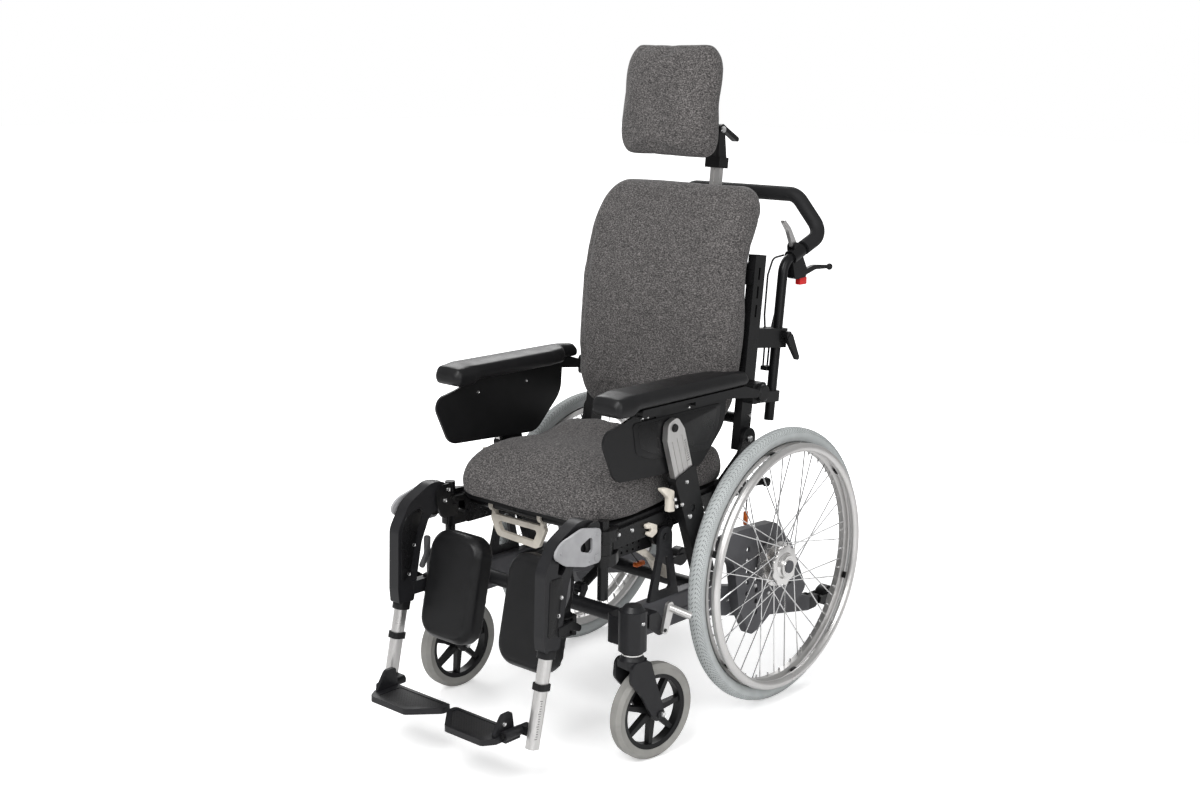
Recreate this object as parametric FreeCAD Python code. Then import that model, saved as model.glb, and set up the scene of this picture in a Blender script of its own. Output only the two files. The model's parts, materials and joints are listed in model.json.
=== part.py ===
import FreeCAD, Part
import math
import os

V = FreeCAD.Vector

# Frame of the model: X to the user's left, Y to the rear, Z up, millimetres. Pieces are placed
# with Y = 0 on the rear axle, and the last step moves the whole chair to its box centre.

# Running gaps and clearances
SEAT_GAP = 0.3
PIN_GAP = 0.06
SIDE_GAP = 0.5

# Rear wheels
WHEEL_R = 305.0
WHEEL_X = 281.5
TYRE_W = 35.0
TYRE_H = 31.7
RIM_W = 25.0
RIM_H = 16.0
SPOKES = 36
SPOKE_T = 2.0
HUB_DRUM_R = 50.0
HUB_IN_X = 263.0
HUB_OUT_X = 312.0
HUB_SHELL_R = 27.0
HUB_FLANGE_R = 43.0
AXLE_R = 8.0
PUSHRIM_R = WHEEL_R - 40.3
PUSHRIM_TUBE_R = 10.0
PUSHRIM_X = 312.7
PUSHRIM_CLIPS = 6

# Casters
CASTER_X = 278.0
CASTER_Y = -489.0
CASTER_R = 100.0
CASTER_W = 32.0
CASTER_TYRE_H = 21.0
CASTER_TRAIL = 52.0
CASTER_SPOKES = 7
CASTER_HUB_R = 15.0
FORK_GAP = 21.0
FORK_T = 8.0
FORK_CROWN_Z = 206.0
FORK_TOP_Z = 234.0
STEM_R = 8.0
CASTER_YAW = {1: -9.8, -1: -3.65}
HOUSING_R = 26.0
HOUSING_TOP_Z = 333.0

# Base frame
TUBE_IN_X = 206.0
TUBE_OUT_X = 236.0
TUBE_FRONT_Y = -452.0
TUBE_REAR_Y = 205.0
TUBE_TOP_Z = 300.0
TUBE_H = 68.0
TUBE_REAR_TOP_Z = 168.0
TUBE_REAR_H = 36.0
TUBE_WALL = 3.0
CROSS_R = 16.0
CROSS_FRONT_Y = -415.0
CROSS_FRONT_Z = 268.0
CROSS_REAR_Y = -20.0
CROSS_REAR_Z = 212.0
PLATE_OUT_X = 259.5
PLATE_WEB = 6.0
PLATE_HOLE_R = 6.0
PLATE_HOLE_PITCH = 25.0

# Seat and its tilt
TILT_Y = -335.0
TILT_Z = 430.0
SEAT_PITCH = 3.5
PIVOT_R = 8.0
TOWER_IN_X = 226.0
TOWER_T = 8.0
RAIL_IN_X = 198.0
RAIL_OUT_X = 222.0
RAIL_LOW = 12.0
RAIL_HIGH = 50.0
RAIL_FRONT = -150.0
RAIL_REAR = 205.0
SEAT_PLATE_T = 9.0
SEAT_PLATE_HALF_W = 214.0
SEAT_PLATE_FRONT = -168.0
SEAT_PLATE_REAR = 228.0
SEAT_CUSHION_HALF_W = 220.0
SEAT_CUSHION_H = 74.0
SEAT_CROWN = 14.0
SEAT_CUSHION_FRONT = -184.0
SEAT_CUSHION_REAR = 240.0
SEAT_CROSS_R = 12.0
SEAT_TUBES = (-120.0, 0.0, 190.0)
HOLE_RAIL_T = 6.0
HOLE_RAIL_Z = 405.0
HOLE_RAIL_H = 30.0
HOLE_RAIL_FRONT_Y = -478.0
HOLE_RAIL_L = 118.0
HOLE_R = 3.2
HOLE_PITCH_Y = 18.0
HOLE_PITCH_Z = 14.0
HOLES_IN_ROW = 5

# Back and its recline
RECLINE_Y = -50.0
RECLINE_Z = 588.0
BACK_LEAN = 6.0
POST_IN_X = 202.0
POST_OUT_X = 221.5
POST_FRONT = -25.0
POST_REAR = 13.0
POST_TOP = 395.0
SHELL_T = 4.0
BACK_CUSHION_HALF_W = 221.0
BACK_CUSHION_TOP = 538.0
EAR_T = 8.0
EAR_R = 23.0

# Push bow and its clamps
BOW_X = 204.0
BOW_DEPTH = 106.0
BOW_TUBE_R = 11.0
BOW_LOW = 31.0
BOW_ELBOW = 380.0
BOW_BACK = 232.0
BOW_BACK_H = 449.0
BOW_TOP_DEPTH = 210.0
BOW_TOP = 531.0
BOW_TOP_X = 150.0
BOW_OUT_X = 213.0
BOW_BEND = 38.0
GRIP_R = 16.5
CLAMP_LOW = 195.0
CLAMP_H = 42.0
GUIDE_LOW = 74.0
GUIDE_H = 24.0

# Headrest
MAST_W = 26.0
MAST_T = 14.0
MAST_DEPTH = 104.0
MAST_LOW = 250.0
MAST_TOP = 600.0
MAST_RECEIVER = 365.0
HEAD_PIVOT_DEPTH = 92.0
HEAD_PIVOT = 661.0
HEAD_HALF_W = 124.0
HEAD_LOW = 590.0
HEAD_TOP = 826.0
HEAD_FRONT = -112.0
HEAD_T = 58.0

# Armrests
ARM_SLEEVE_IN_X = 238.5
ARM_SLEEVE_OUT_X = 260.0
ARM_PIVOT_Y = -282.0
ARM_PIVOT_Z = 486.0
STRUT_TOP_Y = -342.0
STRUT_TOP_Z = 663.0
STRUT_W = 58.0
STRUT_T = 13.0
PAD_IN_X = 180.0
PAD_OUT_X = 264.0
PAD_FRONT_Y = -520.0
PAD_REAR_Y = -92.0
PAD_TOP_Z = 752.0
PAD_T = 36.0
PAD_NOSE = 10.0
PAD_TAIL_IN_X = 226.0
PANEL_IN_X = 231.0
PANEL_T = 6.0

# Leg rests
SWING_X = 218.0
SWING_Y = -512.0
SWING_R = 11.0
SWING_LOW_Z = 337.0
SWING_TOP_Z = 499.0
LUG_H = 24.0
LUG_R = 18.0
KNEE_X = 208.0
KNEE_Y = -556.0
KNEE_Z = 481.0
HANGER_W = 28.0
CHEEK_T = 5.6
LEG_Y = -659.0
LEG_Z = 283.0
LEG_LEAN = 12.0
LEG_TUBE_W = 22.0
LEG_TUBE_D = 27.0
LEG_TUBE_TOP = 75.0
LEG_TUBE_LOW = -208.0
LEG_RING = -92.0
SLEEVE_LOW = -20.0
CALF_X = 114.0
CALF_W = 150.0
CALF_H = 228.0
CALF_T = 46.0
CALF_Y = -598.0
CALF_Z = 306.0
CALF_PIN_X = 199.0
CALF_PIN_Y = -600.0
CALF_PIN_Z = 298.0
CALF_LUG_R = 9.5
FOOT_PIN_X = 180.0
FOOT_PIN_Z = 112.0
FOOT_T = 13.0
FOOT_INNER_X = 6.0
FOOT_OUTER_X = 176.0
FOOT_FRONT_Y = -792.0
FOOT_REAR_Y = -712.0

# Gas springs under the seat
SPRING_R = 10.0
SPRING_ROD_R = 4.0
SPRING_EYE_R = 12.0
SPRING_EYE_W = 14.0
SPRING_PIN_R = 5.0
LOOSE_EYE = 4.9
TILT_SPRING_X = 60.0
TILT_SPRING_BASE = (-400.0, 298.0)
TILT_SPRING_SEAT = (-120.0, 440.0)
RECLINE_SPRING_X = -60.0
RECLINE_SPRING_BASE = (-335.0, 418.0)
RECLINE_SPRING_BACK = (-20.0, 444.0)

# Anti-tip wheels
ANTI_TIP_Y = TUBE_REAR_Y + 22
ANTI_TIP_Z = TUBE_REAR_TOP_Z - TUBE_REAR_H / 2 - 2
ANTI_TIP_L = 62.0
ANTI_TIP_WHEEL_R = 24.0
ANTI_TIP_WHEEL_W = 30.0

# Parking brakes
BRAKE_Y = -380.0
BRAKE_Z = 250.0
BRAKE_IN_X = ARM_SLEEVE_OUT_X + 1.5
BRAKE_T = 7.0

# Pull loop under the seat
LOOP_Z = 430.0
LOOP_X = -66.0
LOOP_W = 168.0
LOOP_T = 10.0

# Hand levers on the push bow, with pivots behind and above the recline pivot
MOUNT_SHARE = 0.30
BRAKE_PIVOT = (176.0, 360.0)
TRIGGER_PIVOT = (136.0, 419.0)
CABLE_R = 2.2

# Armrest strut and its sleeve
STRUT_X = (ARM_SLEEVE_IN_X + ARM_SLEEVE_OUT_X) / 2
SLEEVE_TOP = 84.0
SLEEVE_FOOT = -196.0
STRUT_FOOT = 30.0
POCKET_FOOT = 12.0

# Leg-rest handle
HANDLE_X = KNEE_X + HANGER_W / 2 + SIDE_GAP + CHEEK_T
HANDLE_T = 6.0
HANDLE_PIN_Y = -562.0
HANDLE_PIN_Z = 450.0


def point(plane, at, a, b):
    """A point with coordinates a and b in a plane at the distance at."""
    if plane == "YZ":
        return V(at, a, b)
    if plane == "XZ":
        return V(a, at, b)
    return V(a, b, at)


NORMAL = {"YZ": V(1, 0, 0), "XZ": V(0, 1, 0), "XY": V(0, 0, 1)}


def outline(corners, plane="YZ", at=0.0):
    """A closed wire through corners (a, b, radius), each rounded with an arc."""
    points = [point(plane, at, a, b) for a, b, _ in corners]
    count = len(corners)
    ends = []
    for i, (_, _, radius) in enumerate(corners):
        here = points[i]
        before = (points[i - 1] - here).normalize()
        after = (points[(i + 1) % count] - here).normalize()
        if radius <= 0:
            ends.append((here, None, here))
            continue
        half = before.getAngle(after) / 2
        reach = radius / math.tan(half)
        middle = (before + after).normalize()
        top = here + middle * (radius / math.sin(half) - radius)
        ends.append((here + before * reach, top, here + after * reach))
    edges = []
    for i, (start, top, end) in enumerate(ends):
        if top is not None:
            edges.append(Part.Arc(start, top, end).toShape())
        next_start = ends[(i + 1) % count][0]
        if end.distanceToPoint(next_start) > 1e-6:
            edges.append(Part.LineSegment(end, next_start).toShape())
    return Part.Wire(edges)


def slab(corners, plane, at, depth):
    """A plate with a rounded outline, from at to at + depth along the plane's normal."""
    return Part.Face(outline(corners, plane, at)).extrude(NORMAL[plane] * depth)


def box(x0, x1, y0, y1, z0, z1):
    return Part.makeBox(x1 - x0, y1 - y0, z1 - z0, V(x0, y0, z0))


def rod(start, end, radius):
    """A round bar between two points."""
    along = end - start
    return Part.makeCylinder(radius, along.Length, start, along)


def tube(start, end, radius, wall):
    """A round tube, open at both ends."""
    return rod(start, end, radius).cut(rod(start, end, radius - wall))


def disc(x, y, z, radius, depth):
    """A round boss along X."""
    return Part.makeCylinder(radius, depth, V(x, y, z), V(1, 0, 0))


def square_bar(start, end, side):
    """A thin bar of square section, for a spoke or a strut."""
    along = end - start
    bar = Part.makeBox(side, side, along.Length, V(-side / 2, -side / 2, 0))
    turn = FreeCAD.Rotation(V(0, 0, 1), along)
    bar.Placement = FreeCAD.Placement(start, turn, V(0, 0, 0))
    return bar


def revolved(corners, x, centre_y, centre_z):
    """A ring from a profile of (offset along X, radius, corner radius), turned about X."""
    wire = outline([(x + a, centre_z + b, r) for a, b, r in corners], "XZ", centre_y)
    return Part.Face(wire).revolve(V(0, centre_y, centre_z), V(1, 0, 0), 360)


def bent_path(points, bend):
    """Straight runs through the points, joined by tangent arcs."""
    edges = []
    start = points[0]
    for before, here, after in zip(points, points[1:], points[2:]):
        back = (before - here).normalize()
        ahead = (after - here).normalize()
        half = back.getAngle(ahead) / 2
        reach = bend / math.tan(half)
        middle = (back + ahead).normalize()
        top = here + middle * (bend / math.sin(half) - bend)
        edges.append(Part.LineSegment(start, here + back * reach).toShape())
        edges.append(Part.Arc(here + back * reach, top, here + ahead * reach).toShape())
        start = here + ahead * reach
    edges.append(Part.LineSegment(start, points[-1]).toShape())
    return Part.Wire(edges)


def swept(path, radius, wall=0.0):
    """A round tube along a path."""
    first = path.Edges[0]
    start = first.valueAt(first.FirstParameter)
    along = first.tangentAt(first.FirstParameter)
    section = Part.Wire(Part.makeCircle(radius, start, along))
    solid = path.makePipeShell([section], True, False)
    if wall > 0:
        inner = Part.Wire(Part.makeCircle(radius - wall, start, along))
        solid = solid.cut(path.makePipeShell([inner], True, False))
    return solid


def joined(first, *others):
    solid = first.fuse(list(others))
    return solid.removeSplitter()


def turned(shape, y, z, degrees):
    """The shape turned about an X axis through (y, z); positive lifts the rear."""
    copy = shape.copy()
    copy.rotate(V(0, y, z), V(1, 0, 0), degrees)
    return copy


def leaned(shape):
    """Moves a shape drawn about the recline pivot onto the leaning back."""
    copy = shape.copy()
    copy.translate(V(0, RECLINE_Y, RECLINE_Z))
    return turned(copy, RECLINE_Y, RECLINE_Z, -BACK_LEAN)


def pitched(shape):
    """Moves a shape drawn about the tilt pivot onto the pitched seat."""
    copy = shape.copy()
    copy.translate(V(0, TILT_Y, TILT_Z))
    return turned(copy, TILT_Y, TILT_Z, SEAT_PITCH)


def sided(shape, side):
    """The shape as drawn for the user's left (side 1), or its mirror for the right."""
    return shape if side == 1 else shape.mirror(V(0, 0, 0), V(1, 0, 0))


def both(shape):
    return [shape, sided(shape, -1)]


def grouped(shapes):
    """Separate solids that share one node."""
    solids = []
    for shape in shapes:
        solids += shape.Solids
    return Part.makeCompound(solids)


def lofted(sections):
    """A soft form through closed sections."""
    return Part.makeLoft(sections, True, False)


# Rear wheels

def rear_tyre():
    half = TYRE_W / 2
    seat = WHEEL_R - TYRE_H
    profile = [
        (-9, WHEEL_R, 0), (9, WHEEL_R, 0), (half, WHEEL_R - 11, 0), (half - 3.5, seat + 4, 0),
        (half - 8, seat, 0), (8 - half, seat, 0), (3.5 - half, seat + 4, 0),
        (-half, WHEEL_R - 11, 0),
    ]
    return revolved(profile, WHEEL_X, 0, WHEEL_R)


def rim_radius():
    return WHEEL_R - TYRE_H - SEAT_GAP


def rear_wheel():
    """Rim with a well, and the drum hub with its shell, outer flange and cap."""
    half = RIM_W / 2
    top = rim_radius()
    rim = revolved([
        (-half, top, 0), (half, top, 0), (half, top - 7, 0), (half - 6, top - RIM_H, 0),
        (6 - half, top - RIM_H, 0), (-half, top - 7, 0),
    ], WHEEL_X, 0, WHEEL_R)
    bore = AXLE_R + PIN_GAP
    hub = revolved([
        (HUB_IN_X, bore, 0), (HUB_IN_X, HUB_DRUM_R, 0), (HUB_IN_X + 19, HUB_DRUM_R, 0),
        (HUB_IN_X + 24, HUB_SHELL_R, 0), (HUB_OUT_X - 20, HUB_SHELL_R, 0),
        (HUB_OUT_X - 18, HUB_FLANGE_R, 0), (HUB_OUT_X - 12, HUB_FLANGE_R, 0),
        (HUB_OUT_X - 10, HUB_SHELL_R, 0), (HUB_OUT_X, HUB_SHELL_R - 3, 0), (HUB_OUT_X, bore, 0),
    ], 0, 0, WHEEL_R)
    return grouped([rim, hub])


def spokes():
    """Thirty-six crossed spokes, from the two hub flanges to the rim."""
    bars = []
    rim_inner = rim_radius() - RIM_H - SEAT_GAP
    sides = [(HUB_IN_X + 10, HUB_DRUM_R), (HUB_OUT_X - 15, HUB_FLANGE_R)]
    for i in range(SPOKES):
        hub_x, flange_r = sides[i % 2]
        rim_angle = 2 * math.pi * i / SPOKES
        lead = math.radians(48) * (1 if (i // 2) % 2 == 0 else -1)
        hub_angle = rim_angle + lead
        hub_r = flange_r + SEAT_GAP + SPOKE_T * 0.6
        start = V(hub_x, hub_r * math.cos(hub_angle), WHEEL_R + hub_r * math.sin(hub_angle))
        end_r = rim_inner - 0.1
        cross = 1 if lead > 0 else -1
        hub_x += cross * 2.4
        shift = (3.5 if i % 2 == 1 else -3.5) + cross * 1.7
        end = V(WHEEL_X + shift, end_r * math.cos(rim_angle), WHEEL_R + end_r * math.sin(rim_angle))
        bars.append(square_bar(start, end, SPOKE_T))
    return grouped(bars)


def pushrim():
    """Handrim tube of eight flats, with the clips that hold it off the rim."""
    ring_profile = []
    for i in range(8):
        angle = math.pi / 8 + math.pi / 4 * i
        ring_profile.append((PUSHRIM_TUBE_R * math.cos(angle),
                             PUSHRIM_R + PUSHRIM_TUBE_R * math.sin(angle), 0))
    ring = revolved(ring_profile, PUSHRIM_X, 0, WHEEL_R)
    clips = []
    rim_face = WHEEL_X + RIM_W / 2 + SEAT_GAP
    for i in range(PUSHRIM_CLIPS):
        clip = box(rim_face, PUSHRIM_X - 4, -7, 7, WHEEL_R + PUSHRIM_R - 5, WHEEL_R + PUSHRIM_R + 4)
        clip.rotate(V(0, 0, WHEEL_R), V(1, 0, 0), 360 * i / PUSHRIM_CLIPS + 12)
        clips.append(clip)
    return joined(ring, *clips)


# Casters, drawn with the wheel straight behind the stem

def caster_tyre():
    half = CASTER_W / 2
    seat = CASTER_R - CASTER_TYRE_H
    profile = [(-9, CASTER_R, 0), (9, CASTER_R, 0), (half, CASTER_R - 8, 0), (half - 3, seat, 0),
               (3 - half, seat, 0), (-half, CASTER_R - 8, 0)]
    return revolved(profile, 0, CASTER_TRAIL, CASTER_R)


def caster_wheel():
    """Moulded wheel: hub, seven tapered spokes and rim in one piece."""
    rim_out = CASTER_R - CASTER_TYRE_H - SEAT_GAP
    rim_in = rim_out - 9
    half = CASTER_W / 2 - 4
    rim = revolved([(-half, rim_out, 0), (half, rim_out, 0), (half - 2, rim_in, 0),
                    (2 - half, rim_in, 0)], 0, CASTER_TRAIL, CASTER_R)
    hub = disc(SEAT_GAP - FORK_GAP, CASTER_TRAIL, CASTER_R, CASTER_HUB_R,
               2 * (FORK_GAP - SEAT_GAP))
    hub = hub.cut(disc(-FORK_GAP, CASTER_TRAIL, CASTER_R, PIVOT_R + PIN_GAP, 2 * FORK_GAP))
    arms = []
    for i in range(CASTER_SPOKES):
        arm = slab([(CASTER_HUB_R - 2, -7, 0), (rim_in + 2, -4.5, 0), (rim_in + 2, 4.5, 0),
                    (CASTER_HUB_R - 2, 7, 0)], "YZ", -7, 14)
        arm.rotate(V(0, 0, 0), V(1, 0, 0), 360 * i / CASTER_SPOKES + 8)
        arm.translate(V(0, CASTER_TRAIL, CASTER_R))
        arms.append(arm)
    return joined(rim, hub, *arms)


def caster_fork():
    """Fork with a domed crown, two swept blades, the axle and the stem."""
    blade = [(-22, FORK_TOP_Z - 12, 14), (24, FORK_TOP_Z - 12, 14), (38, 178, 40),
             (CASTER_TRAIL + 15, 92, 13), (CASTER_TRAIL - 13, 86, 13), (2, 150, 60),
             (-26, 182, 20)]
    blades = [slab(blade, "YZ", FORK_GAP, FORK_T), slab(blade, "YZ", -FORK_GAP - FORK_T, FORK_T)]
    reach = FORK_GAP + FORK_T / 2
    crown = slab([(-reach, -24, 12), (reach, -24, 12), (reach, 24, 12), (-reach, 24, 12)],
                 "XY", FORK_CROWN_Z, FORK_TOP_Z - FORK_CROWN_Z - 11)
    dome = Part.makeCone(27, 19, 13, V(0, 0, FORK_TOP_Z - 13), V(0, 0, 1))
    stem = rod(V(0, 0, FORK_TOP_Z - 2), V(0, 0, HOUSING_TOP_Z - 12), STEM_R)
    axle = disc(-FORK_GAP - FORK_T - 3, CASTER_TRAIL, CASTER_R, PIVOT_R,
                2 * (FORK_GAP + FORK_T + 3))
    return joined(crown, *blades, dome, stem, axle)


def placed_caster(shape, side):
    copy = shape.copy()
    copy.rotate(V(0, 0, 0), V(0, 0, 1), CASTER_YAW[side])
    copy.translate(V(side * CASTER_X, CASTER_Y, 0))
    return copy


# Base frame

def side_tube():
    """Deep side tube that drops and tapers to the rear, with a groove and open ends."""
    low = TUBE_TOP_Z - TUBE_H
    rear_low = TUBE_REAR_TOP_Z - TUBE_REAR_H
    corners = [
        (TUBE_FRONT_Y, TUBE_TOP_Z, 0), (-230, TUBE_TOP_Z, 120), (20, 236, 90),
        (TUBE_REAR_Y, TUBE_REAR_TOP_Z, 0), (TUBE_REAR_Y, rear_low, 0), (20, 168, 90),
        (-230, low, 120), (TUBE_FRONT_Y, low, 0),
    ]
    solid = slab(corners, "YZ", TUBE_IN_X, TUBE_OUT_X - TUBE_IN_X)
    long_edges = [e for e in solid.Edges
                  if abs(e.BoundBox.XLength) < 1e-6 and e.BoundBox.YLength > 5]
    solid = solid.makeFillet(5, long_edges)
    groove = slab([(TUBE_FRONT_Y + 6, 276, 4), (-215, 276, 4), (-215, 262, 4),
                   (TUBE_FRONT_Y + 6, 262, 4)], "YZ", TUBE_OUT_X - 2.5, 5)
    hollow = slab([
        (TUBE_FRONT_Y, TUBE_TOP_Z - TUBE_WALL, 0), (-230, TUBE_TOP_Z - TUBE_WALL, 120),
        (20, 236 - TUBE_WALL, 90), (TUBE_REAR_Y, TUBE_REAR_TOP_Z - TUBE_WALL, 0),
        (TUBE_REAR_Y, rear_low + TUBE_WALL, 0), (20, 168 + TUBE_WALL, 90),
        (-230, low + TUBE_WALL, 120), (TUBE_FRONT_Y, low + TUBE_WALL, 0),
    ], "YZ", TUBE_IN_X + TUBE_WALL, TUBE_OUT_X - TUBE_IN_X - 2 * TUBE_WALL - 2.5)
    return solid.cut([groove, hollow])


def caster_housing():
    """Upright stem housing with a rounded front and a lug to the side tube."""
    r = HOUSING_R
    low = FORK_TOP_Z + 1.5
    barrel = slab([(CASTER_X - r, CASTER_Y - r, 20), (CASTER_X + r, CASTER_Y - r, 20),
                   (CASTER_X + r, CASTER_Y + r, 20), (CASTER_X - r, CASTER_Y + r, 20)],
                  "XY", low + 4, HOUSING_TOP_Z - 10 - low - 4)
    cap = Part.makeCone(r - 1, r - 9, 10, V(CASTER_X, CASTER_Y, HOUSING_TOP_Z - 10), V(0, 0, 1))
    foot = Part.makeCylinder(r - 5, 4, V(CASTER_X, CASTER_Y, low))
    lug = slab([(TUBE_IN_X, CASTER_Y + 2, 10), (CASTER_X, CASTER_Y + 2, 0),
                (CASTER_X, TUBE_FRONT_Y, 0), (TUBE_IN_X, TUBE_FRONT_Y, 0)],
               "XY", low + 4, TUBE_TOP_Z - 2 - low - 4)
    solid = joined(barrel, cap, foot, lug)
    bore = rod(V(CASTER_X, CASTER_Y, low - 1), V(CASTER_X, CASTER_Y, HOUSING_TOP_Z - 11),
               STEM_R + PIN_GAP)
    return solid.cut(bore)


def tower():
    """Tilt tower: a plate from the side tube's top to the tilt pivot."""
    eye = PIVOT_R + 13
    plate = slab([
        (TILT_Y - 50, TUBE_TOP_Z, 0), (TILT_Y + 45, TUBE_TOP_Z, 0),
        (TILT_Y + eye, TILT_Z - 30, 40), (TILT_Y + eye, TILT_Z + eye, eye - 1),
        (TILT_Y - eye, TILT_Z + eye, eye - 1), (TILT_Y - eye, TILT_Z - 30, 40),
    ], "YZ", TOWER_IN_X, TOWER_T)
    hole = disc(TOWER_IN_X - 1, TILT_Y, TILT_Z, PIVOT_R + PIN_GAP, TOWER_T + 2)
    window = slab([(TILT_Y - 22, TUBE_TOP_Z + 16, 8), (TILT_Y + 20, TUBE_TOP_Z + 16, 8),
                   (TILT_Y + 8, TILT_Z - 42, 7), (TILT_Y - 8, TILT_Z - 42, 7)],
                  "YZ", TOWER_IN_X - 1, TOWER_T + 2)
    return plate.cut([hole, window])


def spring_ears(x, y, z, carrier_r, carrier_y, carrier_z):
    """Two ears on a cross tube and the pin between them, for a spring's end."""
    gap = SPRING_EYE_W / 2 + SIDE_GAP
    ears = []
    for side in (-1, 1):
        at = x + side * gap if side == 1 else x - gap - 5
        arm = slab([(y - 9, z - 9, 8), (y + 9, z - 9, 8), (y + 9, z + 9, 8), (y - 9, z + 9, 8)],
                   "YZ", at, 5)
        strap = slab([(y - 8, z - 3, 0), (y + 8, z - 3, 0), (carrier_y + 8, carrier_z, 0),
                      (carrier_y - 8, carrier_z, 0)], "YZ", at, 5)
        cut = disc(at - 1, carrier_y, carrier_z, carrier_r - 1, 7)
        ears.append(joined(arm, strap).cut(cut))
    pin = disc(x - gap - 3, y, z, SPRING_PIN_R, 2 * gap + 6)
    return ears + [pin]


def base_frame():
    """Side tubes, caster housings, cross tubes and tilt towers."""
    pieces = both(side_tube()) + both(caster_housing()) + both(tower())
    front = tube(V(-TUBE_IN_X, CROSS_FRONT_Y, CROSS_FRONT_Z),
                 V(TUBE_IN_X, CROSS_FRONT_Y, CROSS_FRONT_Z), CROSS_R, TUBE_WALL)
    base_y, base_z = TILT_SPRING_BASE
    ears = spring_ears(TILT_SPRING_X, base_y, base_z, CROSS_R, CROSS_FRONT_Y, CROSS_FRONT_Z)
    front = joined(front, *ears)
    rear = tube(V(-TUBE_IN_X, CROSS_REAR_Y, CROSS_REAR_Z),
                V(TUBE_IN_X, CROSS_REAR_Y, CROSS_REAR_Z), CROSS_R, TUBE_WALL)
    return grouped(pieces + [front, rear])


def axle_plate():
    """Cast arch plate with a hollow back, two columns of axle holes and a stub axle."""
    corners = [
        (-166, 392, 14), (-112, 400, 30), (20, 393, 40), (88, 326, 24), (150, 212, 12),
        (128, 190, 10), (40, 196, 20), (-30, 158, 14), (-62, 150, 14), (-108, 222, 20),
        (-130, 330, 30), (-172, 352, 12),
    ]
    depth = PLATE_OUT_X - TUBE_OUT_X
    plate = slab(corners, "YZ", TUBE_OUT_X, depth)
    pocket = slab([(-96, 382, 20), (12, 376, 30), (70, 322, 20), (118, 226, 10), (30, 214, 20),
                   (-38, 180, 10), (-58, 176, 10), (-94, 232, 16)],
                  "YZ", TUBE_OUT_X - 1, depth - PLATE_WEB + 1)
    seat = slab([(-78, 262, 10), (-22, 262, 10), (-22, 150, 0), (-78, 150, 0)],
                "YZ", TUBE_OUT_X, depth - PLATE_WEB)
    window = slab([(40, 300, 10), (62, 290, 10), (96, 232, 8), (40, 232, 8)],
                  "YZ", TUBE_OUT_X - 1, depth + 2)
    boss = disc(TUBE_OUT_X, 0, WHEEL_R, 22, depth)
    plate = joined(plate.cut(pocket), boss, plate.common(seat))
    holes = []
    for column_y, top_z, count in ((-80, 350, 5), (-45, 300, 5)):
        for i in range(count):
            holes.append(disc(TUBE_OUT_X - 1, column_y, top_z - i * PLATE_HOLE_PITCH,
                              PLATE_HOLE_R, depth + 2))
    bore = disc(TUBE_OUT_X - 1, 0, WHEEL_R, AXLE_R, depth + 2)
    plate = plate.cut(holes + [window, bore])
    axle = disc(TUBE_OUT_X, 0, WHEEL_R, AXLE_R, HUB_OUT_X - TUBE_OUT_X + 1)
    collar = disc(PLATE_OUT_X, 0, WHEEL_R, AXLE_R + 7, HUB_IN_X - PLATE_OUT_X - SIDE_GAP)
    button = disc(HUB_OUT_X + SIDE_GAP, 0, WHEEL_R, AXLE_R + 6, 3)
    return [plate, joined(axle, collar, button)]


def axle_plates():
    pieces = axle_plate()
    return grouped(both(pieces[0]) + both(pieces[1]))


def anti_tip_fork():
    """Ear plates at the side tube's rear end that carry the anti-tip arm."""
    low = TUBE_REAR_TOP_Z - TUBE_REAR_H + 3
    high = TUBE_REAR_TOP_Z - 3
    body = box(TUBE_IN_X, TUBE_OUT_X, TUBE_REAR_Y, TUBE_REAR_Y + 10, low, high)
    ears = []
    for x in (TUBE_IN_X, TUBE_OUT_X - 5):
        ears.append(slab([(TUBE_REAR_Y, low, 0), (ANTI_TIP_Y + 12, low, 11),
                          (ANTI_TIP_Y + 12, high, 11), (TUBE_REAR_Y, high, 0)], "YZ", x, 5))
    pin = disc(TUBE_IN_X + 2, ANTI_TIP_Y, ANTI_TIP_Z, SPRING_PIN_R, TUBE_OUT_X - TUBE_IN_X - 4)
    return joined(body, *ears, pin)


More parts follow.
